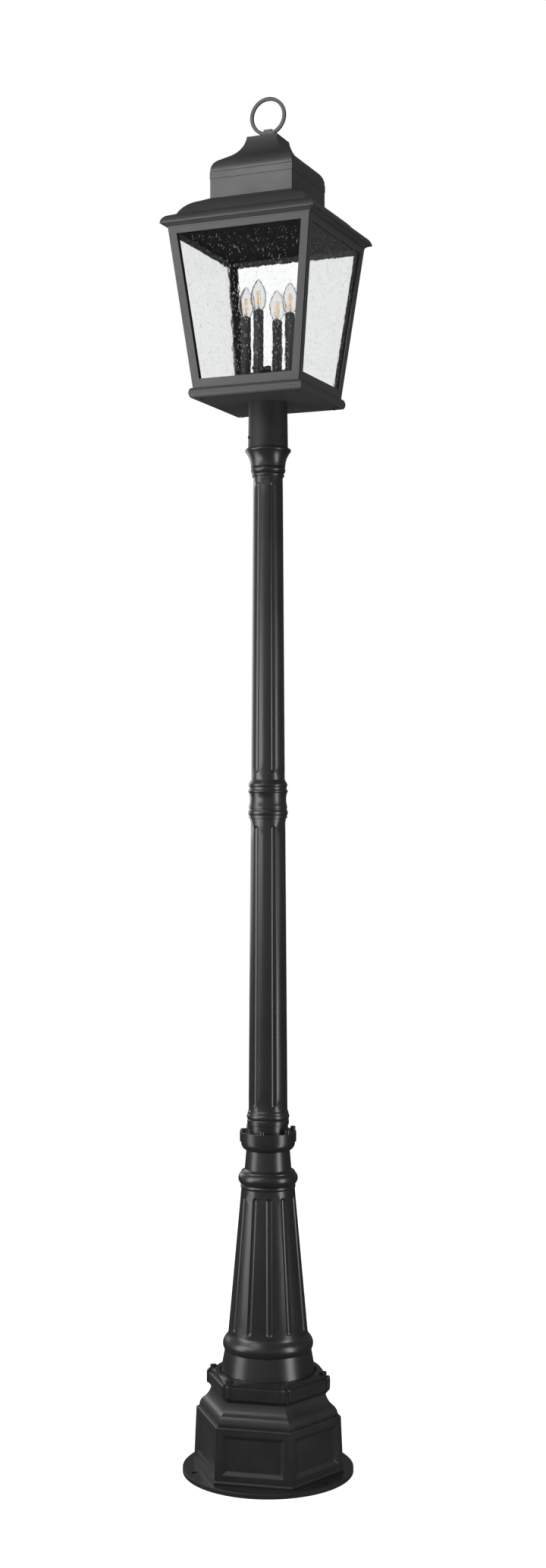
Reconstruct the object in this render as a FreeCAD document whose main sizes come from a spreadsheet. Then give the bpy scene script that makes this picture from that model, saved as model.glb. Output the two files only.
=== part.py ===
import FreeCAD, Part
import math
import os
import re

import Sketcher
from FreeCAD import Placement, Rotation, Vector

# A four-sided post top lantern on a fluted garden post with a hexagonal pedestal.
# Millimetres and degrees, +Z up, origin at the middle of the anchor plate's underside.
# The lantern's faces look along X and Y; the post is turned a little against them.

SIZES = {
    # Anchor plate
    "plate_radius": 181.5,
    "plate_thickness": 9.5,
    "anchor_circle_radius": 162,
    "anchor_hole_radius": 5.75,
    "wire_hole_radius": 45,
    "base_turn": 10,
    # Pedestal box: half widths across the flats of the hexagon
    "box_foot_half": 141,
    "box_head_half": 137,
    "box_inside_half": 130,
    "box_top": 126,
    "foot_edge_height": 6,
    "foot_edge_reach": 1.6,
    "box_shoulder": 3,
    "panel_margin": 13.5,
    "panel_bevel": 8,
    "panel_depth": 4.5,
    # Pedestal cap
    "cap_foot_half": 131,
    "cap_waist_half": 121,
    "cap_waist_height": 148,
    "cap_neck_half": 108.5,
    "cap_neck_height": 170,
    "cap_swell": 26,
    "cap_hollow": 40,
    "band_half": 116,
    "band_foot": 179,
    "band_top": 203,
    "deck_thickness": 8,
    "cap_inside_radius": 99,
    "lip_half": 112,
    "lip_top": 214.5,
    "lip_slope": 0.7,
    "lip_bore_radius": 102.4,
    "corner_bead_radius": 4.5,
    "corner_bead_reach": 129,
    "corner_bead_turn": 2.7,
    "boss_radius": 7,
    "boss_reach": 120,
    "boss_top": 216,
    # Base column
    "column_foot_radius": 102,
    "skirt_head_radius": 92,
    "skirt_top": 259,
    "column_torus_radius": 21,
    "torus_top": 285.5,
    "torus_head_radius": 90.3,
    "cove_top": 295,
    "column_cove_hollow": 18,
    "column_fluted_foot": 84.6,
    "column_fluted_head": 57.2,
    "column_fluted_top": 598.4,
    "neck_ring_radius": 58,
    "neck_ring_top": 609,
    "neck_ring_round": 6.5,
    "neck_torus_top": 634,
    "neck_torus_round": 15.7,
    "neck_bead_radius": 55.5,
    "neck_bead_top": 638.5,
    "neck_bead_round": 4,
    "neck_foot_radius": 49.8,
    "neck_head_radius": 46.4,
    "neck_top": 681.5,
    "column_wall": 7,
    "flute_round": 10,
    "flute_depth": 2.9,
    "flute_margin": 5,
    # Shaft collar
    "collar_ovolo_radius": 57.3,
    "collar_ovolo_top": 695,
    "collar_ovolo_round": 15.5,
    "collar_band_radius": 60.2,
    "collar_band_foot": 700,
    "collar_top": 721,
    "collar_mouth_radius": 44,
    "lug_radius": 5.5,
    "lug_reach": 55.5,
    "lug_top": 728.5,
    "edge_round": 1.5,
    # Lower shaft
    "spigot_radius": 38,
    "spigot_foot": 641,
    "shaft_seat": 705,
    "shaft_foot_radius": 42.7,
    "shaft_ring_radius": 44.5,
    "shaft_ring_foot": 736,
    "shaft_torus_foot": 747,
    "shaft_torus_top": 759,
    "shaft_torus_round": 10.5,
    "lower_fluted_foot": 766,
    "lower_foot_radius": 41.5,
    "lower_head_radius": 36.8,
    "lower_top": 1379,
    "lower_bore_radius": 31.5,
    # Shaft coupling
    "coupling_ring_radius": 40.5,
    "coupling_ring_foot": 1386,
    "coupling_torus_foot": 1392,
    "coupling_torus_top": 1404,
    "coupling_torus_round": 11,
    "coupling_barrel_foot": 1412,
    "coupling_barrel_top": 1440,
    "coupling_barrel_hollow": 52,
    "coupling_bead_top": 1447,
    "coupling_bead_round": 4.2,
    "coupling_upper_ring_top": 1461,
    "coupling_upper_ring_round": 7,
    "coupling_top": 1468,
    "coupling_bore_radius": 21,
    "joint_depth": 40,
    "joint_clearance": 0.2,
    # Upper shaft
    "upper_foot_radius": 35.7,
    "upper_head_radius": 31.4,
    "upper_top": 2111,
    "upper_bore_radius": 25.5,
    # Capital
    "capital_ring_radius": 33.9,
    "capital_ring_top": 2118,
    "capital_ring_round": 5,
    "capital_torus_top": 2131,
    "capital_torus_round": 8,
    "capital_flare_foot": 2132.5,
    "capital_flare_foot_radius": 36.7,
    "capital_flare_hollow": 52,
    "capital_rim_foot": 2164.5,
    "capital_rim_foot_radius": 47.9,
    "capital_rim_round": 4,
    "capital_seat_radius": 45.8,
    "capital_top": 2171,
    "capital_bore_radius": 19,
    # Tenon and fitter cup
    "tenon_radius": 38.1,
    "tenon_wall": 3.6,
    "tenon_top": 2262,
    "cup_clearance": 0.08,
    "cup_head_radius": 41,
    "cup_foot_radius": 42.4,
    "cup_foot_gap": 0.5,
    "set_screw_height": 2194,
    "set_screw_radius": 2.5,
    "set_screw_reach": 44.5,
    "set_screw_turn": 100,
    # Base tray
    "tray_foot": 2268,
    "tray_floor_thickness": 5,
    "tray_half": 124,
    "tray_bead_round": 16,
    "tray_inside_half": 114.8,
    "cage_screw_half": 108.5,
    "cage_screw_radius": 2,
    "cage_screw_hole": 2.1,
    "cage_screw_head_radius": 5,
    "cage_screw_head": 3,
    "cage_screw_length": 17,
    # Candle cluster
    "nipple_radius": 5,
    "nipple_bore": 3.4,
    "nipple_foot": 2252,
    "nipple_top": 2344,
    "nipple_hole": 5.1,
    "lock_nut_flats": 9,
    "lock_nut_height": 5,
    "arms_foot": 2286,
    "arms_thickness": 4,
    "hub_radius": 12,
    "hub_column_radius": 8,
    "brace_foot": 2332,
    "brace_ring_radius": 13.6,
    "arm_width": 9,
    "hub_nut_radius": 7,
    "hub_nut_top": 2348,
    "candle_circle_radius": 51,
    "sleeve_radius": 10.75,
    "sleeve_wall": 0.95,
    "sleeve_top": 2455,
    "socket_stem_radius": 4,
    "socket_radius": 9.4,
    "socket_foot": 2392,
    "socket_top": 2450,
    "socket_mouth_radius": 6.1,
    "socket_mouth_foot": 2427,
    # Bulbs
    "bulb_cap_radius": 5.9,
    "bulb_cap_foot": 2429,
    "bulb_cap_collar_radius": 8.2,
    "bulb_foot": 2456,
    "bulb_radius": 16.6,
    "bulb_widest_height": 2480,
    "bulb_tip_radius": 3,
    "bulb_tip_foot": 2519,
    "bulb_tip": 2520.8,
    "bulb_lower_round": 38.5,
    "bulb_upper_round": 62.7,
    "glass_wall": 0.8,
    "filament_radius": 0.9,
    "filament_circle": 4.6,
    "filament_foot": 2464,
    "filament_top": 2495,
    "filament_stem_foot_radius": 3,
    "filament_stem_radius": 1.1,
    # Cage
    "cage_foot": 2288,
    "cage_head": 2618.5,
    "cage_foot_half": 120.5,
    "cage_head_half": 159.5,
    "frame_depth": 6,
    "mitre_gap": 1,
    "stile_width": 18,
    "bottom_rail": 19,
    "top_rail": 12.5,
    "rebate_lap": 5,
    "rebate_depth": 2.6,
    "pane_play": 0.5,
    "pane_thickness": 2.5,
    "corner_post_width": 11,
    "header_half": 160.2,
    "header_inside_half": 155.4,
    "header_top": 2621.5,
    "ceiling_half": 155,
    "ceiling_thickness": 2,
    # Roof, half widths of a square
    "soffit_half": 161.5,
    "hem_half": 169,
    "hem_height": 2628.5,
    "eave_half": 172.6,
    "eave_height": 2626.5,
    "lip_edge_half": 162.5,
    "lip_edge_height": 2643.5,
    "lip_round": 21,
    "ledge_half": 146,
    "ledge_height": 2650,
    "skirt_shoulder_half": 110,
    "skirt_shoulder_height": 2682.6,
    "skirt_round": 62,
    "skirt_peak": 2690,
    "roof_inside_half": 152,
    "roof_inside_shoulder_half": 104,
    "roof_inside_shoulder": 2676,
    "roof_mouth_half": 88,
    "cupola_half": 93,
    "cupola_wall": 3,
    "cupola_box_top": 2731,
    "cupola_band_half": 93.7,
    "cupola_band_top": 2746,
    "cupola_foot_half": 92.9,
    "cupola_swell_half": 80,
    "cupola_swell_height": 2773,
    "cupola_swell_round": 30,
    "cupola_turn_half": 60,
    "cupola_turn_height": 2786,
    "cupola_hollow_round": 62,
    "cupola_top_half": 34.5,
    "cupola_top": 2830,
    # Finial ring
    "ring_radius": 41,
    "ring_width": 7.5,
    "ring_thickness": 5.6,
    "ring_height": 2879,
    "ring_foot_half": 11,
    "ring_foot_top": 2851,
    "ring_screw_radius": 2.2,
    "ring_screw_head_radius": 4.5,
    "ring_screw_depth": 10,
}

SIDES_OF_PEDESTAL = 6
SIDES_OF_LANTERN = 4
COLUMN_FLUTES = 12
SHAFT_FLUTES = 6
ANCHORS = 3
SET_SCREWS = 3
CANDLES = 4
FILAMENTS = 4

doc = FreeCAD.newDocument("PostTopLantern")
sheet = doc.addObject("Spreadsheet::Sheet", "Sizes")
for row, (alias, size) in enumerate(SIZES.items(), start=1):
    sheet.set(f"A{row}", alias)
    sheet.set(f"B{row}", str(size))
    sheet.setAlias(f"B{row}", alias)
doc.recompute()

pieces = []


# ---------------------------------------------------------------- sizes from the sheet


def cell(text):
    """Points every alias in an expression at its cell of the sheet."""
    return re.sub(r"[a-z_]+", lambda word: "Sizes." + word[0] if word[0] in SIZES else word[0], text)


def measure(text):
    """The value of an expression of aliases."""
    return float(sheet.evalExpression(cell(text)))


def bind(thing, name, text):
    """Binds a property of a feature to an expression of aliases."""
    thing.setExpression(name, cell(text))


def keep(thing, label):
    """Names a finished sub-part."""
    thing.Label = label
    pieces.append(thing)
    return thing


# ---------------------------------------------------------------- sketches


def draw(sketch, outline):
    """Draws a closed outline of (across, up) corners. Where an arc leads to a corner, a third item gives
    its radius, positive where the arc swells and negative where it is hollow."""
    places = [Vector(measure(corner[0]), measure(corner[1]), 0) for corner in outline]
    shapes = []
    ends = []
    for index, corner in enumerate(outline):
        start = places[index - 1]
        end = places[index]
        if len(corner) == 2:
            shapes.append(Part.LineSegment(start, end))
            ends.append((1, 2))
            continue
        radius = measure(corner[2])
        half_chord = (end - start).Length / 2
        rise = abs(radius) - math.sqrt(radius**2 - half_chord**2)
        side = Vector(end.y - start.y, start.x - end.x, 0).normalize() * math.copysign(rise, radius)
        middle = (start + end) * 0.5 + side
        if radius > 0:
            shapes.append(Part.ArcOfCircle(start, middle, end))
            ends.append((1, 2))
        else:
            shapes.append(Part.ArcOfCircle(end, middle, start))
            ends.append((2, 1))
    sketch.addGeometry(shapes, False)

    rules = []
    bound = []
    for index, corner in enumerate(outline):
        following = (index + 1) % len(outline)
        here = ends[index][1]
        rules.append(Sketcher.Constraint("Coincident", index, here, following, ends[following][0]))
        for direction, axis, text, value in (
            ("DistanceX", -2, corner[0], places[index].x),
            ("DistanceY", -1, corner[1], places[index].y),
        ):
            if text == "0":
                rules.append(Sketcher.Constraint("PointOnObject", index, here, axis))
            else:
                bound.append((len(rules), text))
                rules.append(Sketcher.Constraint(direction, -1, 1, index, here, value))
        if len(corner) == 3:
            bound.append((len(rules), corner[2].lstrip("-")))
            rules.append(Sketcher.Constraint("Radius", index, abs(measure(corner[2]))))
    sketch.addConstraint(rules)
    for number, text in bound:
        bind(sketch, f"Constraints[{number}]", text)


def datum(body, role):
    """A plane or an axis of a body's own origin."""
    return next(feature for feature in body.Origin.OriginFeatures if feature.Role == role)


def sketch_on(body, name, role, outline, across="0", up="0", above="0", lean="0"):
    """A sketch on a plane of the body's origin, moved over and leant in that plane."""
    sketch = body.newObject("Sketcher::SketchObject", name)
    sketch.AttachmentSupport = [(datum(body, role), "")]
    sketch.MapMode = "FlatFace"
    for axis, text in (("x", across), ("y", up), ("z", above)):
        if text != "0":
            bind(sketch, f"AttachmentOffset.Base.{axis}", text)
    if lean != "0":
        sketch.AttachmentOffset = Placement(Vector(), Rotation(Vector(0, 0, 1), measure(lean)))
        bind(sketch, "AttachmentOffset.Rotation.Angle", lean)
    draw(sketch, outline)
    return sketch


# ---------------------------------------------------------------- ways of making a piece


def new_body(name, turn="0", across="0"):
    """A body turned about the upright axis, then moved outwards along the direction it is turned to."""
    body = doc.addObject("PartDesign::Body", name)
    body.AllowCompound = True
    angle = measure(turn)
    reach = measure(across)
    direction = Vector(math.cos(math.radians(angle)), math.sin(math.radians(angle)), 0)
    body.Placement = Placement(direction * reach, Rotation(Vector(0, 0, 1), angle))
    return body


def repeat(body, feature, name, count):
    """Repeats a feature round the upright axis."""
    pattern = body.newObject("PartDesign::PolarPattern", name)
    pattern.Originals = [feature]
    pattern.Axis = (datum(body, "Z_Axis"), [""])
    pattern.Angle = 360
    pattern.Occurrences = count
    body.Tip = pattern
    return pattern


def turn(body, name, outline, cut=False, count=1, about="V_Axis", **place):
    """Adds a turned form to a body, or cuts it out, once or several times round the upright axis."""
    sketch = sketch_on(body, name + "_outline", "XZ_Plane", outline, **place)
    feature = body.newObject("PartDesign::Groove" if cut else "PartDesign::Revolution", name)
    feature.Profile = sketch
    feature.ReferenceAxis = (sketch, [about])
    feature.Angle = 360
    if count > 1:
        feature = repeat(body, feature, name + "_round", count)
    body.Tip = feature
    return feature


def turned(label, outline, turn_by="0", across="0", **more):
    """A sub-part that is one turned form."""
    body = new_body(label + "_body", turn_by, across)
    turn(body, label + "_form", outline, **more)
    return keep(body, label)


def flutes(body, count, foot_radius, foot, head_radius, head):
    """Cuts round-ended flutes that follow a tapered shaft from its foot to its head."""
    lean = f"atan(({foot_radius} - ({head_radius})) / ({head} - ({foot})))"
    length = f"({head} - ({foot}) - 2 * flute_margin)"
    capsule = [
        ("0", "0", "flute_round"),
        ("0", length),
        ("-1 * flute_round", f"{length} - flute_round", "flute_round"),
        ("-1 * flute_round", "flute_round"),
    ]
    turn(
        body,
        body.Name + "_flute",
        capsule,
        cut=True,
        count=count,
        across=f"{foot_radius} + flute_round - flute_depth",
        up=f"{foot} + flute_margin",
        lean=lean,
    )


def mirrored(outline):
    """A closed outline from its right half, which starts and ends on the upright axis."""
    left = []
    for index in range(len(outline) - 2, 0, -1):
        across, up = outline[index][:2]
        radius = outline[index + 1][2:]
        left.append((f"-1 * ({across})", up) + radius)
    return outline + left


def mitred(name, outline, sides, turn_by="0"):
    """A form with the same outline across each pair of flats, mitred at its corners."""
    slabs = []
    reach = max(measure(corner[0]) for corner in outline)
    for number in range(sides // 2):
        sketch = doc.addObject("Sketcher::SketchObject", f"{name}_outline_{number}")
        upright = Rotation(Vector(1, 0, 0), 90)
        around = Rotation(Vector(0, 0, 1), measure(turn_by) + number * 360 / sides)
        sketch.Placement = Placement(Vector(), around * upright)
        draw(sketch, mirrored(outline))
        slab = doc.addObject("Part::Extrusion", f"{name}_slab_{number}")
        slab.Base = sketch
        slab.DirMode = "Normal"
        slab.LengthFwd = 3 * reach
        slab.Symmetric = True
        slab.Solid = True
        slabs.append(slab)
    whole = doc.addObject("Part::MultiCommon", name)
    whole.Shapes = slabs
    return whole


def square_bar(half, foot, top):
    """The right half of a rectangular outline."""
    return [("0", foot), (half, foot), (half, top), ("0", top)]


def rod(name, radius, foot, top, reach="0", angle=0):
    """An upright cylinder, standing off the middle where a reach is given."""
    bar = doc.addObject("Part::Cylinder", name)
    bind(bar, "Radius", radius)
    bind(bar, "Height", f"{top} - ({foot})")
    bind(bar, "Placement.Base.z", foot)
    if reach != "0":
        bind(bar, "Placement.Base.x", f"({reach}) * cos({angle})")
        bind(bar, "Placement.Base.y", f"({reach}) * sin({angle})")
    return bar


def block(name, length, width, foot, top, angle=0, start="0"):
    """A box along a direction from the middle, its width centred on that direction."""
    bar = doc.addObject("Part::Box", name)
    bind(bar, "Length", length)
    bind(bar, "Width", width)
    bind(bar, "Height", f"{top} - ({foot})")
    bar.Placement = Placement(Vector(), Rotation(Vector(0, 0, 1), angle))
    bind(bar, "Placement.Base.x", f"({start}) * cos({angle}) + ({width}) / 2 * sin({angle})")
    bind(bar, "Placement.Base.y", f"({start}) * sin({angle}) - ({width}) / 2 * cos({angle})")
    bind(bar, "Placement.Base.z", foot)
    return bar


def fused(name, shapes):
    whole = doc.addObject("Part::MultiFuse", name)
    whole.Shapes = shapes
    whole.Refine = True
    return whole


def cut(name, base, tool):
    whole = doc.addObject("Part::Cut", name)
    whole.Base = base
    whole.Tool = tool
    return whole


# ---------------------------------------------------------------- post


def anchor_plate():
    body = new_body("plate", "base_turn + 90")
    disc = [
        ("wire_hole_radius", "0"),
        ("plate_radius", "0"),
        ("plate_radius", "plate_thickness - 1"),
        ("plate_radius - 1", "plate_thickness"),
        ("wire_hole_radius", "plate_thickness"),
    ]
    turn(body, "plate_disc", disc)
    hole = [
        ("0", "-1"),
        ("anchor_hole_radius", "-1"),
        ("anchor_hole_radius", "plate_thickness + 1"),
        ("0", "plate_thickness + 1"),
    ]
    turn(body, "anchor_hole", hole, cut=True, count=ANCHORS, across="anchor_circle_radius")
    keep(body, "anchor_plate")


def panel_recess(number):
    """The bevelled recess of one face, as the wedge that cuts it, which starts a little outside the face."""
    foot = "(plate_thickness + foot_edge_height + panel_margin)"
    top = "(box_top - panel_margin - 2)"
    half = "(box_head_half / sqrt(3) - panel_margin)"
    rise = "(box_top - box_shoulder - plate_thickness - foot_edge_height)"
    lean = f"atan((box_foot_half - box_head_half) / {rise})"
    wedge = doc.addObject("Part::Wedge", f"panel_recess_{number}")
    for name, text in (
        ("Xmin", f"-1 * {half} - panel_bevel / 3"),
        ("Xmax", f"{half} + panel_bevel / 3"),
        ("X2min", f"-1 * {half} + panel_bevel"),
        ("X2max", f"{half} - panel_bevel"),
        ("Zmin", "-1 * panel_bevel / 3"),
        ("Zmax", f"{top} - {foot} + panel_bevel / 3"),
        ("Z2min", "panel_bevel"),
        ("Z2max", f"{top} - {foot} - panel_bevel"),
        ("Ymin", "-1 * panel_depth / 3"),
        ("Ymax", "panel_depth"),
    ):
        bind(wedge, name, text)
    reach = measure(f"box_foot_half - panel_margin * tan({lean})")
    angle = measure("base_turn") + 30 + number * 360 / SIDES_OF_PEDESTAL
    around = Placement(Vector(), Rotation(Vector(0, 0, 1), angle + 90))
    outwards = Placement(Vector(0, -reach, measure(foot)), Rotation(Vector(1, 0, 0), -measure(lean)))
    wedge.Placement = around * outwards
    return wedge


def pedestal_box():
    outline = [
        ("0", "plate_thickness"),
        ("box_foot_half + foot_edge_reach", "plate_thickness"),
        ("box_foot_half + foot_edge_reach", "plate_thickness + foot_edge_height - 1.5"),
        ("box_foot_half", "plate_thickness + foot_edge_height"),
        ("box_head_half", "box_top - box_shoulder"),
        ("box_head_half - box_shoulder", "box_top", "box_shoulder"),
        ("0", "box_top"),
    ]
    outside = mitred("box_outside", outline, SIDES_OF_PEDESTAL, "base_turn + 30")
    inside = mitred(
        "box_inside",
        square_bar("box_inside_half", "plate_thickness - 1", "box_top - deck_thickness"),
        SIDES_OF_PEDESTAL,
        "base_turn + 30",
    )
    opening = rod("box_opening", "cap_inside_radius", "box_top - deck_thickness - 1", "box_top + 1")
    recesses = [panel_recess(number) for number in range(SIDES_OF_PEDESTAL)]
    hollow = fused("box_hollow", [inside, opening])
    shell = cut("box_shell", outside, hollow)
    panels = doc.addObject("Part::Compound", "box_recesses")
    panels.Links = recesses
    keep(cut("box_panelled", shell, panels), "pedestal_box")


def corner_beads(side):
    """The rounded upright beads at one end of each face's band."""
    body = new_body("beads_after" if side > 0 else "beads_before", f"base_turn + {side} * corner_bead_turn")
    capsule = [
        ("0", "band_foot - 1"),
        ("corner_bead_radius", "band_foot - 1 + corner_bead_radius", "corner_bead_radius"),
        ("corner_bead_radius", "band_top"),
        ("0", "band_top + corner_bead_radius", "corner_bead_radius"),
    ]
    turn(body, body.Name + "_form", capsule, count=SIDES_OF_PEDESTAL, across="corner_bead_reach")
    return body


def pedestal_cap():
    ogee = [
        ("0", "box_top"),
        ("cap_foot_half", "box_top"),
        ("cap_foot_half", "box_top + 4"),
        ("cap_waist_half", "cap_waist_height", "cap_swell"),
        ("cap_neck_half", "cap_neck_height", "-cap_hollow"),
        ("band_half - 1.5", "band_foot - 1"),
        ("band_half", "band_foot"),
        ("band_half", "band_top - 1"),
        ("band_half - 1", "band_top"),
        ("0", "band_top"),
    ]
    casting = [mitred("cap_ogee", ogee, SIDES_OF_PEDESTAL, "base_turn + 30")]
    lips = mitred(
        "cap_lip_prism",
        square_bar("lip_half", "band_top - 2", "lip_top"),
        SIDES_OF_PEDESTAL,
        "base_turn + 30",
    )
    chamfer = doc.addObject("Part::Cone", "cap_lip_chamfer")
    bind(chamfer, "Radius1", "lip_half + (lip_top - band_top + 2) / lip_slope")
    bind(chamfer, "Radius2", "lip_half")
    bind(chamfer, "Height", "lip_top - band_top + 2")
    bind(chamfer, "Placement.Base.z", "band_top - 2")
    arched = doc.addObject("Part::Common", "cap_arched_lips")
    arched.Base = lips
    arched.Tool = chamfer
    casting.append(arched)
    for number in range(SIDES_OF_PEDESTAL):
        angle = SIZES["base_turn"] + number * 360 / SIDES_OF_PEDESTAL
        casting.append(
            rod(f"corner_boss_{number}", "boss_radius", "band_top - 2", "boss_top", "boss_reach", angle)
        )
    solid = fused("cap_casting", casting + [corner_beads(-1), corner_beads(1)])
    cavity = rod("cap_cavity", "cap_inside_radius", "box_top - 1", "band_top - deck_thickness")
    seat = rod("cap_seat", "lip_bore_radius", "band_top", "lip_top + 1")
    wire_way = rod("cap_wire_way", "wire_hole_radius", "band_top - deck_thickness - 1", "band_top + 1")
    keep(cut("cap_hollow", solid, fused("cap_hollows", [cavity, seat, wire_way])), "pedestal_cap")


def base_column():
    body = new_body("column", "base_turn + 15")
    outline = [
        ("column_foot_radius - column_wall", "band_top"),
        ("column_foot_radius", "band_top"),
        ("skirt_head_radius", "skirt_top"),
        ("skirt_head_radius + 1", "skirt_top + 1"),
        ("torus_head_radius", "torus_top", "column_torus_radius"),
        ("torus_head_radius - 1.5", "torus_top + 2"),
        ("column_fluted_foot", "cove_top", "-column_cove_hollow"),
        ("column_fluted_head", "column_fluted_top"),
        ("neck_ring_radius - 1", "column_fluted_top + 2"),
        ("neck_ring_radius - 1", "neck_ring_top", "neck_ring_round"),
        ("neck_ring_radius - 0.6", "neck_torus_top", "neck_torus_round"),
        ("neck_bead_radius - 2", "neck_bead_top", "neck_bead_round"),
        ("neck_foot_radius", "neck_bead_top + 3"),
        ("neck_head_radius", "neck_top"),
        ("spigot_radius + joint_clearance", "neck_top"),
        ("spigot_radius + joint_clearance", "spigot_foot - 1"),
        ("column_fluted_head - column_wall", "column_fluted_top"),
        ("column_fluted_foot - column_wall", "cove_top"),
    ]
    turn(body, "column_form", outline)
    flutes(
        body,
        COLUMN_FLUTES,
        "column_fluted_foot",
        "cove_top",
        "column_fluted_head",
        "column_fluted_top",
    )
    keep(body, "base_column")


def shaft_collar():
    body = new_body("collar", "base_turn + 30")
    outline = [
        ("spigot_radius + joint_clearance", "neck_top"),
        ("neck_head_radius + 1.2", "neck_top"),
        ("collar_ovolo_radius", "collar_ovolo_top", "collar_ovolo_round"),
        ("collar_ovolo_radius", "collar_band_foot"),
        ("collar_band_radius", "collar_band_foot"),
        ("collar_band_radius", "collar_top - edge_round"),
        ("collar_band_radius - edge_round", "collar_top", "edge_round"),
        ("collar_mouth_radius", "collar_top"),
        ("collar_mouth_radius", "shaft_seat"),
        ("spigot_radius + joint_clearance", "shaft_seat"),
    ]
    turn(body, "collar_form", outline)
    lug = [
        ("0", "collar_top - 1"),
        ("lug_radius", "collar_top - 1"),
        ("lug_radius", "lug_top - edge_round"),
        ("lug_radius - edge_round", "lug_top", "edge_round"),
        ("0", "lug_top"),
    ]
    turn(body, "collar_lug", lug, count=SIDES_OF_PEDESTAL, across="lug_reach")
    keep(body, "shaft_collar")


def lower_shaft():
    body = new_body("lower", "base_turn")
    outline = [
        ("lower_bore_radius", "spigot_foot"),
        ("spigot_radius", "spigot_foot"),
        ("spigot_radius", "shaft_seat"),
        ("shaft_foot_radius", "shaft_seat"),
        ("shaft_foot_radius", "shaft_ring_foot - 1"),
        ("shaft_ring_radius", "shaft_ring_foot"),
        ("shaft_ring_radius", "shaft_torus_foot - 2"),
        ("shaft_ring_radius - 1", "shaft_torus_foot"),
        ("shaft_ring_radius - 1", "shaft_torus_top", "shaft_torus_round"),
        ("shaft_ring_radius - 1.2", "shaft_torus_top + 3.5"),
        ("lower_foot_radius", "lower_fluted_foot"),
        ("lower_head_radius", "lower_top"),
        ("lower_bore_radius", "lower_top"),
    ]
    turn(body, "lower_form", outline)
    flutes(body, SHAFT_FLUTES, "lower_foot_radius", "lower_fluted_foot", "lower_head_radius", "lower_top")
    keep(body, "lower_shaft")


def shaft_coupling():
    outline = [
        ("coupling_bore_radius", "lower_top - joint_depth"),
        ("lower_bore_radius - joint_clearance", "lower_top - joint_depth"),
        ("lower_bore_radius - joint_clearance", "lower_top"),
        ("lower_head_radius + 1", "lower_top"),
        ("lower_head_radius + 1", "coupling_ring_foot - 1"),
        ("coupling_ring_radius", "coupling_ring_foot"),
        ("coupling_ring_radius", "coupling_torus_foot"),
        ("coupling_ring_radius - 0.3", "coupling_torus_top", "coupling_torus_round"),
        ("coupling_ring_radius - 0.3", "coupling_torus_top + 3"),
        ("coupling_ring_radius + 0.3", "coupling_torus_top + 4"),
        ("coupling_ring_radius", "coupling_barrel_foot"),
        ("coupling_ring_radius", "coupling_barrel_top", "-coupling_barrel_hollow"),
        ("coupling_ring_radius - 0.7", "coupling_bead_top", "coupling_bead_round"),
        ("coupling_ring_radius - 0.9", "coupling_bead_top + 5"),
        ("coupling_ring_radius - 1", "coupling_upper_ring_top", "coupling_upper_ring_round"),
        ("upper_foot_radius", "coupling_top"),
        ("upper_bore_radius - joint_clearance", "coupling_top"),
        ("upper_bore_radius - joint_clearance", "coupling_top + joint_depth"),
        ("coupling_bore_radius", "coupling_top + joint_depth"),
    ]
    turned("shaft_coupling", outline)


def upper_shaft():
    body = new_body("upper", "base_turn")
    outline = [
        ("upper_bore_radius", "coupling_top"),
        ("upper_foot_radius", "coupling_top"),
        ("upper_head_radius", "upper_top"),
        ("upper_bore_radius", "upper_top"),
    ]
    turn(body, "upper_form", outline)
    flutes(body, SHAFT_FLUTES, "upper_foot_radius", "coupling_top + 6", "upper_head_radius", "upper_top - 5")
    keep(body, "upper_shaft")


def capital():
    outline = [
        ("capital_bore_radius", "upper_top - joint_depth"),
        ("upper_bore_radius - joint_clearance", "upper_top - joint_depth"),
        ("upper_bore_radius - joint_clearance", "upper_top"),
        ("capital_ring_radius - 0.8", "upper_top"),
        ("capital_ring_radius - 0.8", "capital_ring_top", "capital_ring_round"),
        ("capital_ring_radius + 1", "capital_ring_top + 2"),
        ("capital_ring_radius + 1", "capital_torus_top", "capital_torus_round"),
        ("capital_flare_foot_radius", "capital_flare_foot"),
        ("capital_rim_foot_radius", "capital_rim_foot", "-capital_flare_hollow"),
        ("capital_seat_radius", "capital_top", "capital_rim_round"),
        ("capital_bore_radius", "capital_top"),
    ]
    turned("capital", outline)


def post_tenon():
    outline = [
        ("tenon_radius - tenon_wall", "capital_top"),
        ("tenon_radius", "capital_top"),
        ("tenon_radius", "tenon_top - 1"),
        ("tenon_radius - 1", "tenon_top"),
        ("tenon_radius - tenon_wall", "tenon_top"),
    ]
    turned("post_tenon", outline)


# ---------------------------------------------------------------- lantern head


def fitter_cup():
    body = new_body("cup", "set_screw_turn")
    outline = [
        ("tenon_radius + cup_clearance", "capital_top + cup_foot_gap"),
        ("cup_foot_radius", "capital_top + cup_foot_gap"),
        ("cup_head_radius", "tray_foot"),
        ("nipple_hole", "tray_foot"),
        ("nipple_hole", "tenon_top"),
        ("tenon_radius + cup_clearance", "tenon_top"),
    ]
    turn(body, "cup_form", outline)
    hole = [
        ("tenon_radius - 1", "0"),
        ("cup_foot_radius + 1", "0"),
        ("cup_foot_radius + 1", "set_screw_radius"),
        ("tenon_radius - 1", "set_screw_radius"),
    ]
    turn(body, "cup_screw_hole", hole, cut=True, count=SET_SCREWS, about="H_Axis", up="set_screw_height")
    keep(body, "fitter_cup")


def cup_set_screws():
    outline = [
        ("tenon_radius + cup_clearance", "0"),
        ("set_screw_reach - 2", "0"),
        ("set_screw_reach - 2", "set_screw_radius - 1.2"),
        ("set_screw_reach", "set_screw_radius - 1.2"),
        ("set_screw_reach", "set_screw_radius - 0.3"),
        ("set_screw_reach - 0.5", "set_screw_radius"),
        ("tenon_radius + cup_clearance", "set_screw_radius"),
    ]
    turned(
        "cup_set_screws",
        outline,
        turn_by="set_screw_turn",
        count=SET_SCREWS,
        about="H_Axis",
        up="set_screw_height",
    )


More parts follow.
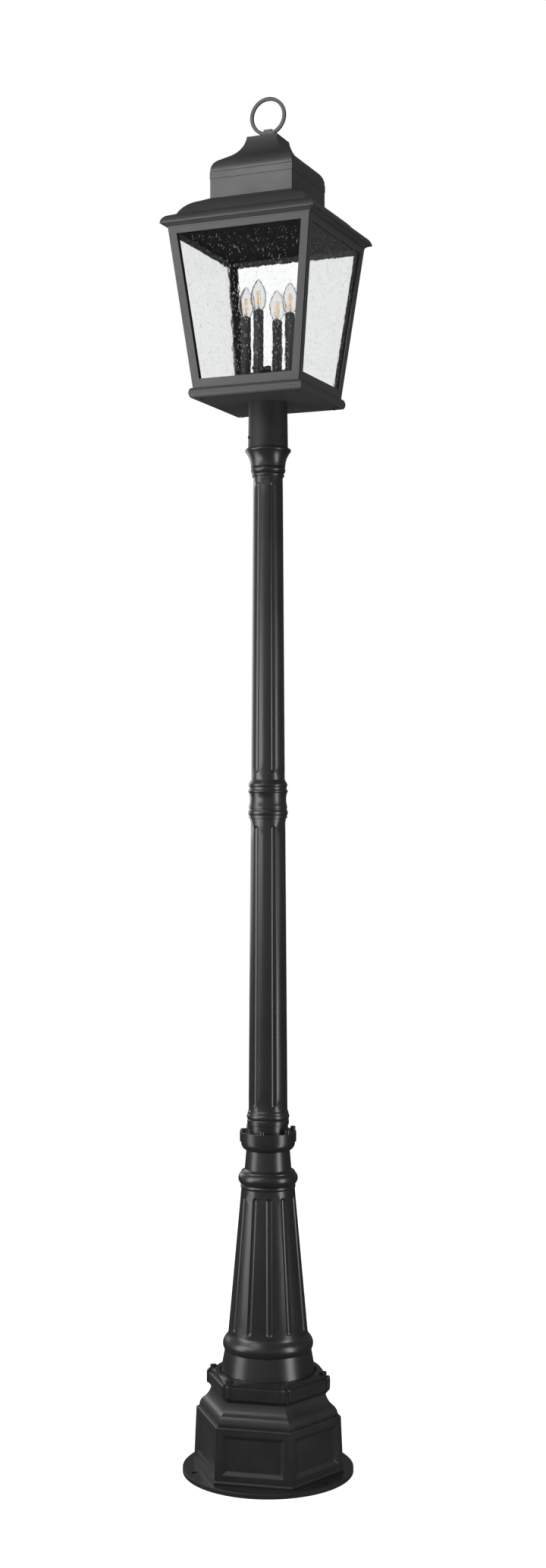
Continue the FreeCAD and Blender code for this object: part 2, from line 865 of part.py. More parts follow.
def base_tray():
    outline = [
        ("0", "tray_foot"),
        ("tray_half", "tray_foot"),
        ("tray_half", "cage_foot", "tray_bead_round"),
        ("0", "cage_foot"),
    ]
    slab = mitred("tray_slab", outline, SIDES_OF_LANTERN)
    pan = mitred(
        "tray_pan",
        square_bar("tray_inside_half", "tray_foot + tray_floor_thickness", "cage_foot + 1"),
        SIDES_OF_LANTERN,
    )
    holes = [pan, rod("tray_wire_hole", "nipple_hole", "tray_foot - 1", "cage_foot")]
    for number in range(SIDES_OF_LANTERN):
        holes.append(
            rod(
                f"tray_screw_hole_{number}",
                "cage_screw_hole",
                "tray_foot - 1",
                "cage_foot",
                "cage_screw_half * sqrt(2)",
                45 + number * 90,
            )
        )
    keep(cut("tray", slab, fused("tray_hollows", holes)), "base_tray")


def cage_screws():
    outline = [
        ("0", "tray_foot - cage_screw_head"),
        ("cage_screw_head_radius - 1.5", "tray_foot - cage_screw_head"),
        ("cage_screw_head_radius", "tray_foot - 1", "3"),
        ("cage_screw_head_radius", "tray_foot"),
        ("cage_screw_radius", "tray_foot"),
        ("cage_screw_radius", "tray_foot + cage_screw_length - 1"),
        ("cage_screw_radius - 1", "tray_foot + cage_screw_length"),
        ("0", "tray_foot + cage_screw_length"),
    ]
    body = new_body("screws", "45")
    turn(body, "screws_form", outline, count=SIDES_OF_LANTERN, across="cage_screw_half * sqrt(2)")
    keep(body, "cage_screws")


def tube(label, inner, outer, foot, top):
    """A plain ring or tube on the upright axis."""
    turned(label, [(inner, foot), (outer, foot), (outer, top), (inner, top)])


def lock_nut():
    hexagon = mitred(
        "nut_hexagon",
        square_bar("lock_nut_flats", "tenon_top - lock_nut_height", "tenon_top"),
        SIDES_OF_PEDESTAL,
    )
    hole = rod("nut_hole", "nipple_hole", "tenon_top - lock_nut_height - 1", "tenon_top + 1")
    keep(cut("nut", hexagon, hole), "lock_nut")


def spider(label, foot, ring_radius, hole_radius, hub):
    """A flat four-armed plate with a round end under or round each candle."""
    top = f"{foot} + arms_thickness"
    solid = [rod(label + "_hub", hub, foot, top)]
    holes = [rod(label + "_hub_hole", "nipple_hole", f"{foot} - 1", f"{top} + 1")]
    for number in range(CANDLES):
        angle = number * 90
        solid.append(block(f"{label}_arm_{number}", "candle_circle_radius", "arm_width", foot, top, angle))
        solid.append(
            rod(f"{label}_end_{number}", ring_radius, foot, top, "candle_circle_radius", angle)
        )
        holes.append(
            rod(
                f"{label}_end_hole_{number}",
                hole_radius,
                f"{foot} - 1",
                f"{top} + 1",
                "candle_circle_radius",
                angle,
            )
        )
    keep(cut(label + "_plate", fused(label + "_solid", solid), fused(label + "_holes", holes)), label)


def candle_cluster():
    tube("nipple", "nipple_bore", "nipple_radius", "nipple_foot", "nipple_top")
    lock_nut()
    tube("cluster_hub", "nipple_hole", "hub_radius", "tray_foot + tray_floor_thickness", "arms_foot")
    spider("cluster_arms", "arms_foot", "brace_ring_radius", "nipple_bore", "hub_radius + 4")
    tube("hub_column", "nipple_hole", "hub_column_radius", "arms_foot + arms_thickness", "brace_foot")
    spider("candle_brace", "brace_foot", "brace_ring_radius", "sleeve_radius + joint_clearance", "hub_radius")
    nut = [
        ("nipple_hole", "brace_foot + arms_thickness"),
        ("hub_nut_radius", "brace_foot + arms_thickness"),
        ("hub_nut_radius", "hub_nut_top - 2"),
        ("hub_nut_radius - 2", "hub_nut_top", "2"),
        ("0", "hub_nut_top"),
        ("0", "nipple_top"),
        ("nipple_hole", "nipple_top"),
    ]
    turned("hub_nut", nut)


def candle(number):
    """One candle: its sleeve, its socket and the bulb that screws into it."""
    angle = str(number * 90)
    place = {"turn_by": angle, "across": "candle_circle_radius"}
    seat = "arms_foot + arms_thickness"
    sleeve = [
        ("sleeve_radius - sleeve_wall", seat),
        ("sleeve_radius", seat),
        ("sleeve_radius", "sleeve_top - 0.5"),
        ("sleeve_radius - 0.5", "sleeve_top"),
        ("sleeve_radius - sleeve_wall", "sleeve_top"),
    ]
    turned(f"candle_sleeve_{number + 1}", sleeve, **place)
    socket = [
        ("0", seat),
        ("socket_stem_radius", seat),
        ("socket_stem_radius", "socket_foot"),
        ("socket_radius", "socket_foot"),
        ("socket_radius", "socket_top"),
        ("socket_mouth_radius", "socket_top"),
        ("socket_mouth_radius", "socket_mouth_foot"),
        ("0", "socket_mouth_foot"),
    ]
    turned(f"lamp_socket_{number + 1}", socket, **place)
    bulb_cap = [
        ("0", "bulb_cap_foot"),
        ("bulb_cap_radius - 3", "bulb_cap_foot"),
        ("bulb_cap_radius", "bulb_cap_foot + 4"),
        ("bulb_cap_radius", "socket_top"),
        ("bulb_cap_collar_radius", "socket_top + 3"),
        ("bulb_cap_collar_radius", "bulb_foot"),
        ("0", "bulb_foot"),
    ]
    turned(f"bulb_{number + 1}_cap", bulb_cap, **place)
    tip_height = "(bulb_tip - bulb_tip_foot)"
    tip_round = f"(bulb_tip_radius ^ 2 + {tip_height} ^ 2) / (2 * {tip_height})"
    glass = [
        ("0", "bulb_foot"),
        ("bulb_cap_collar_radius", "bulb_foot"),
        ("bulb_radius", "bulb_widest_height", "bulb_lower_round"),
        ("bulb_tip_radius", "bulb_tip_foot", "bulb_upper_round"),
        ("0", "bulb_tip", tip_round),
        ("0", "bulb_tip_foot - glass_wall"),
        ("bulb_tip_radius - glass_wall", "bulb_tip_foot - glass_wall"),
        ("bulb_radius - glass_wall", "bulb_widest_height", "-(bulb_upper_round)"),
        ("bulb_cap_collar_radius", "bulb_foot + 2 * glass_wall", "-(bulb_lower_round)"),
        ("0", "bulb_foot + 2 * glass_wall"),
    ]
    turned(f"bulb_{number + 1}_glass", glass, **place)
    filaments(number, place)


def filaments(number, place):
    """The glass stem of one bulb with its four upright filaments, held by wires at both ends."""
    body = new_body(f"filament_{number}", place["turn_by"], place["across"])
    stem = [
        ("0", "bulb_foot + 2 * glass_wall"),
        ("filament_stem_foot_radius", "bulb_foot + 2 * glass_wall"),
        ("filament_stem_radius", "filament_foot"),
        ("filament_stem_radius", "filament_top + 1"),
        ("0", "filament_top + 1"),
    ]
    turn(body, f"stem_{number}", stem)
    for end, height in (("foot", "filament_foot - 0.5"), ("top", "filament_top + 0.5")):
        wire = [
            ("0", "0"),
            ("filament_circle", "0"),
            ("filament_circle", "filament_radius / 2"),
            ("0", "filament_radius / 2"),
        ]
        turn(body, f"wire_{end}_{number}", wire, count=FILAMENTS, about="H_Axis", up=height)
    stick = [
        ("0", "filament_foot - 1"),
        ("filament_radius", "filament_foot - 1"),
        ("filament_radius", "filament_top + 1"),
        ("0", "filament_top + 1"),
    ]
    turn(body, f"stick_{number}", stick, count=FILAMENTS, across="filament_circle")
    keep(body, f"bulb_{number + 1}_filaments")


# ---------------------------------------------------------------- cage

LEAN = "atan((cage_head_half - cage_foot_half) / (cage_head - cage_foot))"
SLANT = f"((cage_head - cage_foot) / cos({LEAN}))"
SIDE_NAMES = ("front", "right", "back", "left")


def trapezoid(foot_half, foot, head_half, head):
    return [
        (f"-1 * ({foot_half})", foot),
        (foot_half, foot),
        (head_half, head),
        (f"-1 * ({head_half})", head),
    ]


def window(lap):
    """The glass opening of a side, grown by a lap on all sides."""
    foot = f"(bottom_rail - ({lap}))"
    head = f"({SLANT} - top_rail + ({lap}))"
    edge = f"cage_foot_half - stile_width + ({lap})"
    return trapezoid(f"{edge} + {foot} * sin({LEAN})", foot, f"{edge} + {head} * sin({LEAN})", head)


def leaning_body(name, number):
    """A body whose XZ plane is the outer face of one side of the cage."""
    body = doc.addObject("PartDesign::Body", name)
    around = Placement(Vector(0, 0, measure("cage_foot")), Rotation(Vector(0, 0, 1), number * 90))
    lean = Placement(Vector(0, -measure("cage_foot_half"), 0), Rotation(Vector(1, 0, 0), measure(LEAN)))
    body.Placement = around * lean
    return body


def side_frame(number):
    side = SIDE_NAMES[number]
    body = leaning_body(f"frame_{side}", number)
    outer = trapezoid("cage_foot_half - mitre_gap", "0", "cage_head_half - mitre_gap", SLANT)
    inwards = f"(frame_depth / cos({LEAN}) + mitre_gap)"
    sink = f"frame_depth * tan({LEAN})"
    inner = trapezoid(
        f"cage_foot_half - {inwards}", f"-1 * {sink}", f"cage_head_half - {inwards}", f"{SLANT} - {sink}"
    )
    face = sketch_on(body, f"face_{side}", "XZ_Plane", outer)
    back = sketch_on(body, f"back_{side}", "XZ_Plane", inner, above="-1 * frame_depth")
    slab = body.newObject("PartDesign::AdditiveLoft", f"slab_{side}")
    slab.Profile = face
    slab.Sections = [back]
    slab.Ruled = True
    opening = body.newObject("PartDesign::Pocket", f"window_{side}")
    opening.Profile = sketch_on(body, f"window_{side}_outline", "XZ_Plane", window("0"), above="1")
    opening.Type = "ThroughAll"
    rebate = body.newObject("PartDesign::Pocket", f"rebate_{side}")
    rebate.Profile = sketch_on(
        body,
        f"rebate_{side}_outline",
        "XZ_Plane",
        window("rebate_lap"),
        above="rebate_depth - frame_depth",
    )
    rebate.Type = "Length"
    bind(rebate, "Length", "rebate_depth + 1")
    body.Tip = rebate
    keep(body, f"side_frame_{side}")


def glass_pane(number):
    side = SIDE_NAMES[number]
    body = leaning_body(f"pane_{side}", number)
    pane = body.newObject("PartDesign::Pad", f"pane_{side}_sheet")
    pane.Profile = sketch_on(
        body,
        f"pane_{side}_outline",
        "XZ_Plane",
        window("rebate_lap - pane_play"),
        above="rebate_depth - frame_depth",
    )
    bind(pane, "Length", "pane_thickness")
    pane.Reversed = True
    body.Tip = pane
    keep(body, f"glass_pane_{side}")


def corner_posts():
    """Four bars inside the corners, which join the side frames, back the glass and take the cage screws."""
    body = new_body("posts")
    foot = "(tray_foot + tray_floor_thickness)"
    sections = []
    for name, height in (("foot", foot), ("head", "cage_head")):
        outer = f"(cage_foot_half + ({height} - cage_foot) * tan({LEAN}) - frame_depth / cos({LEAN}))"
        inner = f"({outer} - corner_post_width)"
        square = [(inner, inner), (outer, inner), (outer, outer), (inner, outer)]
        sections.append(sketch_on(body, f"post_{name}", "XY_Plane", square, above=height))
    post = body.newObject("PartDesign::AdditiveLoft", "post")
    post.Profile = sections[0]
    post.Sections = [sections[1]]
    post.Ruled = True
    repeat(body, post, "posts_round", SIDES_OF_LANTERN)
    drill = body.newObject("PartDesign::Pocket", "post_holes")
    sketch = body.newObject("Sketcher::SketchObject", "post_holes_outline")
    sketch.AttachmentSupport = [(datum(body, "XY_Plane"), "")]
    sketch.MapMode = "FlatFace"
    bind(sketch, "AttachmentOffset.Base.z", foot)
    for number in range(SIDES_OF_LANTERN):
        x_sign = 1 if number in (0, 3) else -1
        y_sign = 1 if number < 2 else -1
        centre = Vector(x_sign * measure("cage_screw_half"), y_sign * measure("cage_screw_half"), 0)
        sketch.addGeometry(Part.Circle(centre, Vector(0, 0, 1), measure("cage_screw_hole")), False)
        for direction, sign in (("DistanceX", x_sign), ("DistanceY", y_sign)):
            rule = Sketcher.Constraint(direction, -1, 1, number, 3, sign * measure("cage_screw_half"))
            bind(sketch, f"Constraints[{sketch.addConstraint(rule)}]", f"{sign} * cage_screw_half")
        rule = Sketcher.Constraint("Radius", number, measure("cage_screw_hole"))
        bind(sketch, f"Constraints[{sketch.addConstraint(rule)}]", "cage_screw_hole")
    drill.Profile = sketch
    drill.Type = "Length"
    drill.Reversed = True
    bind(drill, "Length", "cage_screw_length - tray_floor_thickness + 1")
    body.Tip = drill
    keep(body, "corner_posts")


def square_ring(label, outer_half, inner_half, foot, top):
    """A square tube between two heights."""
    outside = mitred(label + "_outside", square_bar(outer_half, foot, top), SIDES_OF_LANTERN)
    inside = mitred(label + "_inside", square_bar(inner_half, f"{foot} - 1", f"{top} + 1"), SIDES_OF_LANTERN)
    keep(cut(label + "_ring", outside, inside), label)


def ceiling_plate():
    plate = mitred(
        "ceiling", square_bar("ceiling_half", "cage_head", "cage_head + ceiling_thickness"), SIDES_OF_LANTERN
    )
    keep(plate, "ceiling_plate")


def roof_skirt():
    outline = [
        ("0", "header_top"),
        ("soffit_half", "header_top"),
        ("hem_half", "hem_height"),
        ("hem_half", "eave_height"),
        ("eave_half", "eave_height"),
        ("lip_edge_half", "lip_edge_height", "lip_round"),
        ("ledge_half", "ledge_height"),
        ("skirt_shoulder_half", "skirt_shoulder_height", "skirt_round"),
        ("cupola_half + 2", "skirt_peak"),
        ("0", "skirt_peak"),
    ]
    hollow = [
        ("0", "header_top - 1"),
        ("roof_inside_half", "header_top - 1"),
        ("roof_inside_half", "ledge_height - 14"),
        ("roof_inside_shoulder_half", "roof_inside_shoulder"),
        ("roof_mouth_half", "skirt_peak - 4"),
        ("roof_mouth_half", "skirt_peak + 1"),
        ("0", "skirt_peak + 1"),
    ]
    outside = mitred("roof_outside", outline, SIDES_OF_LANTERN)
    inside = mitred("roof_inside", hollow, SIDES_OF_LANTERN)
    keep(cut("roof", outside, inside), "roof_skirt")


def cupola_cap():
    outline = [
        ("0", "cupola_box_top"),
        ("cupola_band_half", "cupola_box_top"),
        ("cupola_band_half", "cupola_band_top - 1"),
        ("cupola_band_half - 1", "cupola_band_top"),
        ("cupola_foot_half", "cupola_band_top + 1"),
        ("cupola_swell_half", "cupola_swell_height", "cupola_swell_round"),
        ("cupola_turn_half", "cupola_turn_height"),
        ("cupola_top_half", "cupola_top", "-cupola_hollow_round"),
        ("0", "cupola_top"),
    ]
    hollow = [
        ("0", "cupola_box_top - 1"),
        ("cupola_half - cupola_wall", "cupola_box_top - 1"),
        ("cupola_half - cupola_wall", "cupola_band_top"),
        ("cupola_swell_half - 7", "cupola_swell_height - 5"),
        ("cupola_turn_half - 7", "cupola_turn_height - 4"),
        ("cupola_top_half - cupola_wall", "cupola_top - 10"),
        ("cupola_top_half - cupola_wall", "cupola_top - cupola_wall"),
        ("0", "cupola_top - cupola_wall"),
    ]
    outside = mitred("cupola_outside", outline, SIDES_OF_LANTERN)
    inside = mitred("cupola_inside", hollow, SIDES_OF_LANTERN)
    hole = rod("cupola_hole", "ring_screw_radius + 0.1", "cupola_top - cupola_wall - 1", "cupola_top + 1")
    keep(cut("cupola", outside, fused("cupola_hollows", [inside, hole])), "cupola_cap")


def finial_ring():
    """A flat upright ring with a foot that a screw pulls down from inside the cupola."""
    body = new_body("ring")
    plate = [
        ("ring_radius - ring_width", "ring_thickness / -2 + 0.8"),
        ("ring_radius - ring_width + 0.8", "ring_thickness / -2"),
        ("ring_radius - 0.8", "ring_thickness / -2"),
        ("ring_radius", "ring_thickness / -2 + 0.8"),
        ("ring_radius", "ring_thickness / 2 - 0.8"),
        ("ring_radius - 0.8", "ring_thickness / 2"),
        ("ring_radius - ring_width + 0.8", "ring_thickness / 2"),
        ("ring_radius - ring_width", "ring_thickness / 2 - 0.8"),
    ]
    section = sketch_on(body, "ring_section", "XY_Plane", plate, above="ring_height")
    hoop = body.newObject("PartDesign::Revolution", "ring_hoop")
    hoop.Profile = section
    hoop.ReferenceAxis = (section, ["V_Axis"])
    hoop.Angle = 360
    foot = body.newObject("PartDesign::Pad", "ring_foot")
    foot.Profile = sketch_on(
        body,
        "ring_foot_outline",
        "XZ_Plane",
        trapezoid("ring_foot_half", "cupola_top", "ring_foot_half - 1.5", "ring_foot_top"),
    )
    bind(foot, "Length", "ring_thickness")
    foot.SideType = "Symmetric"
    body.Tip = foot
    hole = [
        ("0", "cupola_top - 1"),
        ("ring_screw_radius", "cupola_top - 1"),
        ("ring_screw_radius", "cupola_top + ring_screw_depth"),
        ("0", "cupola_top + ring_screw_depth"),
    ]
    turn(body, "ring_screw_hole", hole, cut=True)
    keep(body, "finial_ring")
    screw = [
        ("0", "cupola_top - cupola_wall - 3"),
        ("ring_screw_head_radius - 1", "cupola_top - cupola_wall - 3"),
        ("ring_screw_head_radius", "cupola_top - cupola_wall - 2"),
        ("ring_screw_head_radius", "cupola_top - cupola_wall"),
        ("ring_screw_radius", "cupola_top - cupola_wall"),
        ("ring_screw_radius", "cupola_top + ring_screw_depth"),
        ("0", "cupola_top + ring_screw_depth"),
    ]
    turned("ring_screw", screw)


# ---------------------------------------------------------------- the whole part

anchor_plate()
pedestal_box()
pedestal_cap()
base_column()
shaft_collar()
lower_shaft()
shaft_coupling()
upper_shaft()
capital()
post_tenon()

fitter_cup()
cup_set_screws()
base_tray()
cage_screws()
candle_cluster()
for which in range(CANDLES):
    candle(which)

for which in range(SIDES_OF_LANTERN):
    side_frame(which)
    glass_pane(which)
corner_posts()
square_ring("header_frame", "header_half", "header_inside_half", "cage_head", "header_top")
ceiling_plate()
roof_skirt()
square_ring("cupola_box", "cupola_half", "cupola_half - cupola_wall", "skirt_peak", "cupola_box_top")
cupola_cap()
finial_ring()

doc.recompute()

faults = [thing.Name for thing in doc.Objects if "Invalid" in thing.State or "Error" in thing.State]
for piece in pieces:
    if piece.Shape.isNull() or not piece.Shape.isValid():
        faults.append(piece.Label)
if len({piece.Label for piece in pieces}) != len(pieces):
    faults.append("two sub-parts share a label")
if faults:
    raise SystemExit(f"failed: {faults}")

os.makedirs("parts", exist_ok=True)
for piece in pieces:
    piece.Shape.exportStep(os.path.join("parts", piece.Label + ".step"))
print(f"{len(pieces)} sub-parts written")
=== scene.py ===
"""The looks of a square post top lantern: powder coats, seeded glass and filament bulbs."""

import math
import random

import bmesh
import bpy
from mathutils import Matrix, Vector


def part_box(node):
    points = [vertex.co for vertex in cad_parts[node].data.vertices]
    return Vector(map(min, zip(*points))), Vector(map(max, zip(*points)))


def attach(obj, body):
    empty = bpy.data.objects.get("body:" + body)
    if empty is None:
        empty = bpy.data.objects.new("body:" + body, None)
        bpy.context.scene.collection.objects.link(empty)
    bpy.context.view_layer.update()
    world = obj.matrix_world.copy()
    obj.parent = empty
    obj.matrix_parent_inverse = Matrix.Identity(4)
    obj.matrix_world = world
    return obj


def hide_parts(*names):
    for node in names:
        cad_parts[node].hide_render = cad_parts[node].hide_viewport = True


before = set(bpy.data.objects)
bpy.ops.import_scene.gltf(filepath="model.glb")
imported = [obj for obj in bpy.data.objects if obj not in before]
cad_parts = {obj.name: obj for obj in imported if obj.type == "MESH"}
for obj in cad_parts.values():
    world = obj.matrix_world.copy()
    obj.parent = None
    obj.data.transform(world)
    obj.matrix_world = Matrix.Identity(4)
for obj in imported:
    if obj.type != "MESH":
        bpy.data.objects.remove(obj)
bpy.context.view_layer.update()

MM = 0.001
SIDES = ("front", "right", "back", "left")
CANDLES = (1, 2, 3, 4)

# ---------------------------------------------------------------- selecting and finishing

DOUBLES = 0.001 * MM


def choose(piece):
    """Selects one piece alone."""
    bpy.ops.object.select_all(action="DESELECT")
    piece.select_set(True)
    bpy.context.view_layer.objects.active = piece


def open_mesh(piece, action="SELECT"):
    """Opens a piece's mesh for edit, with all of it selected or none."""
    choose(piece)
    bpy.ops.object.mode_set(mode="EDIT")
    bpy.ops.mesh.select_all(action=action)


def close_mesh():
    """Closes the mesh that is open for edit."""
    bpy.ops.object.mode_set(mode="OBJECT")


def modified(piece, kind, **settings):
    """Puts a modifier on a piece and applies it."""
    choose(piece)
    modifier = piece.modifiers.new(kind.lower(), kind)
    for label, value in settings.items():
        setattr(modifier, label, value)
    bpy.ops.object.modifier_apply(modifier=modifier.name)
    return piece


def settle(piece):
    """Brings a piece's place into its mesh, so that its object sits at the origin."""
    choose(piece)
    bpy.ops.object.transform_apply(location=True, rotation=True, scale=True)


def outwards(piece):
    """Merges doubles and points every face outwards."""
    open_mesh(piece)
    bpy.ops.mesh.remove_doubles(threshold=DOUBLES)
    bpy.ops.mesh.normals_make_consistent(inside=False)
    close_mesh()


def joined(name, pieces):
    """Makes one piece of several."""
    bpy.ops.object.select_all(action="DESELECT")
    for piece in pieces:
        piece.select_set(True)
    bpy.context.view_layer.objects.active = pieces[0]
    bpy.ops.object.join()
    pieces[0].name = name
    return pieces[0]


def hand_over(piece, name, body, finish, stands_for=(), smooth=30, level=False):
    """Names a finished piece, coats it and puts it on its body.

    A level piece has its broad flat faces lit flat, so that only the small radii beside them turn.
    """
    settle(piece)
    piece.name = name
    piece.data.name = name
    piece.data.materials.clear()
    piece.data.materials.append(finish)
    bpy.ops.object.shade_smooth_by_angle(angle=math.radians(smooth))
    if level:
        modified(piece, "WEIGHTED_NORMAL", keep_sharp=True)
    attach(piece, body)
    if stands_for:
        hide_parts(*stands_for)
    return piece


# ---------------------------------------------------------------- ways of making a piece

WELD = 0.004 * MM
FLAT_ANGLE = math.radians(0.4)
ROD_EASE_SHARE = 0.45


def arc(start, end, radius, steps):
    """Points after start, up to end, on a circle that swells outwards."""
    first = Vector(start)
    last = Vector(end)
    chord = last - first
    side = Vector((chord.y, -chord.x)).normalized()
    drop = math.sqrt(radius**2 - (chord.length / 2) ** 2)
    centre = (first + last) / 2 - side * drop
    sweep = (first - centre).angle_signed(last - centre)
    turns = (Matrix.Rotation(-sweep * step / steps, 2) for step in range(1, steps + 1))
    return [tuple(centre + turn @ (first - centre)) for turn in turns]


def lathe(outline, centre, sides=48, closed=True):
    """A turned form: a disc or ring drawn up a (radius, height) outline. A radius of 0 ends it."""
    radius, height = outline[0]
    bpy.ops.object.select_all(action="DESELECT")
    bpy.ops.mesh.primitive_circle_add(
        vertices=sides,
        radius=radius,
        fill_type="NGON" if closed else "NOTHING",
        location=(*centre, height),
    )
    piece = bpy.context.active_object
    settle(piece)
    open_mesh(piece)
    extrude = bpy.ops.mesh.extrude_region_move if closed else bpy.ops.mesh.extrude_edges_move
    for next_radius, next_height in outline[1:]:
        extrude(TRANSFORM_OT_translate={"value": (0, 0, next_height - height)})
        height = next_height
        if next_radius == 0:
            bpy.ops.mesh.merge(type="CENTER")
            break
        share = next_radius / radius
        bpy.ops.transform.resize(value=(share, share, 1), center_override=(*centre, height))
        radius = next_radius
    close_mesh()
    outwards(piece)
    return piece


def copied(node):
    """A welded copy of a CAD node, with its flat faces whole again."""
    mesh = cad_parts[node].data.copy()
    piece = bpy.data.objects.new(node + "_copy", mesh)
    bpy.context.scene.collection.objects.link(piece)
    open_mesh(piece)
    bpy.ops.mesh.customdata_custom_splitnormals_clear()
    bpy.ops.mesh.remove_doubles(threshold=WELD)
    bpy.ops.mesh.dissolve_limited(angle_limit=FLAT_ANGLE)
    close_mesh()
    return piece


def eased(piece, width, angle=30, segments=2):
    """Rounds the edges of a piece that turn by more than an angle."""
    return modified(
        piece,
        "BEVEL",
        width=width,
        segments=segments,
        limit_method="ANGLE",
        angle_limit=math.radians(angle),
        use_clamp_overlap=True,
    )


def rod_between(start, end, radius, sides=12):
    """A straight round rod between two points."""
    along = end - start
    bpy.ops.object.select_all(action="DESELECT")
    bpy.ops.mesh.primitive_cylinder_add(
        vertices=sides,
        radius=radius,
        depth=along.length,
        location=start + along / 2,
        rotation=along.to_track_quat("Z", "Y").to_euler(),
    )
    rod = bpy.context.active_object
    settle(rod)
    return eased(rod, radius * ROD_EASE_SHARE)


# ---------------------------------------------------------------- shader groups

BLOTCHES_FROM = 0.3
BLOTCHES_TO = 0.7


def new_group(name, inputs, outputs):
    """A node group with its sockets, and its input and output nodes."""
    group = bpy.data.node_groups.new(name, "ShaderNodeTree")
    sockets = group.interface
    for label, value in inputs:
        kind = "NodeSocketColor" if isinstance(value, tuple) else "NodeSocketFloat"
        socket = sockets.new_socket(name=label, in_out="INPUT", socket_type=kind)
        socket.default_value = value
    for label, kind in outputs:
        sockets.new_socket(name=label, in_out="OUTPUT", socket_type=kind)
    return group, group.nodes.new("NodeGroupInput"), group.nodes.new("NodeGroupOutput")


def add(tree, kind, **settings):
    """A node with its sockets and settings filled in; a socket is named by its label."""
    node = tree.nodes.new(kind)
    for label, value in settings.items():
        socket = node.inputs.get(label.replace("_", " ").title())
        if socket:
            socket.default_value = value
        else:
            setattr(node, label, value)
    return node


def fill(node, values):
    """Sets a node's own sockets, by their labels or numbers."""
    for label, value in values.items():
        node.inputs[label].default_value = value


def wire(tree, *ends):
    """Links each pair of sockets, from output to input."""
    for source, target in ends:
        tree.links.new(source, target)


def grain_group():
    """Powder coat: a fine sandy grain on slow waves, and a mask of slow blotches."""
    group, given, out = new_group(
        "powder_grain",
        [("Grain Scale", 900.0), ("Grain Share", 0.7), ("Wave Scale", 60.0), ("Blotch Scale", 9.0)],
        [("Height", "NodeSocketFloat"), ("Blotch", "NodeSocketFloat")],
    )
    place = add(group, "ShaderNodeTexCoord")
    grain = add(group, "ShaderNodeTexNoise", detail=3.0, roughness=0.6)
    wave = add(group, "ShaderNodeTexNoise", detail=1.0)
    blotch = add(group, "ShaderNodeTexNoise", detail=3.0, roughness=0.55)
    height = add(group, "ShaderNodeMix", data_type="FLOAT")
    for noise, scale in ((grain, "Grain Scale"), (wave, "Wave Scale"), (blotch, "Blotch Scale")):
        wire(
            group,
            (place.outputs["Object"], noise.inputs["Vector"]),
            (given.outputs[scale], noise.inputs["Scale"]),
        )
    wire(
        group,
        (given.outputs["Grain Share"], height.inputs["Factor"]),
        (wave.outputs["Fac"], height.inputs["A"]),
        (grain.outputs["Fac"], height.inputs["B"]),
        (height.outputs["Result"], out.inputs["Height"]),
        (blotch.outputs["Fac"], out.inputs["Blotch"]),
    )
    return group


def drift_group():
    """Moves a colour and a roughness a little from place to place."""
    group, given, out = new_group(
        "finish_drift",
        [
            ("Blotch", 0.5),
            ("Dark Colour", (0.0, 0.0, 0.0, 1.0)),
            ("Light Colour", (1.0, 1.0, 1.0, 1.0)),
            ("Smoothest", 0.3),
            ("Roughest", 0.5),
        ],
        [("Color", "NodeSocketColor"), ("Roughness", "NodeSocketFloat")],
    )
    spread = add(group, "ShaderNodeMapRange", from_min=BLOTCHES_FROM, from_max=BLOTCHES_TO)
    colour = add(group, "ShaderNodeMix", data_type="RGBA")
    rough = add(group, "ShaderNodeMix", data_type="FLOAT")
    wire(
        group,
        (given.outputs["Blotch"], spread.inputs["Value"]),
        (spread.outputs["Result"], colour.inputs["Factor"]),
        (spread.outputs["Result"], rough.inputs["Factor"]),
        (given.outputs["Dark Colour"], colour.inputs[6]),
        (given.outputs["Light Colour"], colour.inputs[7]),
        (given.outputs["Smoothest"], rough.inputs["A"]),
        (given.outputs["Roughest"], rough.inputs["B"]),
        (colour.outputs[2], out.inputs["Color"]),
        (rough.outputs["Result"], out.inputs["Roughness"]),
    )
    return group


def ripple_group():
    """The drawn surface of seeded glass: upright streaks and small dimples."""
    group, given, out = new_group(
        "glass_ripple",
        [("Ripple Scale", 150.0), ("Upright Stretch", 0.3)],
        [("Height", "NodeSocketFloat")],
    )
    place = add(group, "ShaderNodeTexCoord")
    stretch = add(group, "ShaderNodeCombineXYZ", x=1.0, y=1.0)
    drawn = add(group, "ShaderNodeVectorMath", operation="MULTIPLY")
    ripple = add(group, "ShaderNodeTexNoise", detail=2.0)
    wire(
        group,
        (given.outputs["Upright Stretch"], stretch.inputs["Z"]),
        (place.outputs["Object"], drawn.inputs[0]),
        (stretch.outputs["Vector"], drawn.inputs[1]),
        (drawn.outputs["Vector"], ripple.inputs["Vector"]),
        (given.outputs["Ripple Scale"], ripple.inputs["Scale"]),
        (ripple.outputs["Fac"], out.inputs["Height"]),
    )
    return group


GRAIN = grain_group()
DRIFT = drift_group()
RIPPLE = ripple_group()

# ---------------------------------------------------------------- finishes

GLASS_IOR = 1.5
AIR_IN_GLASS_IOR = 0.75
SEED_ROUGHNESS = 0.5
GLASS_SHADOW = 0.9
UPRIGHT_STRETCH = 0.5


def grey(level, blue=1.0):
    """A grey, with its blue a little raised or lowered."""
    return (level, level, level * blue, 1.0)


WHITE = grey(1.0)


def new_material(name):
    """A material with its node tree, shader and output."""
    material = bpy.data.materials.new(name)
    material.use_nodes = True
    tree = material.node_tree
    return material, tree, tree.nodes["Principled BSDF"], tree.nodes["Material Output"]


def grouped(tree, group, values):
    """A shader group placed in a material, with its own values."""
    node = tree.nodes.new("ShaderNodeGroup")
    node.node_tree = group
    fill(node, values)
    return node


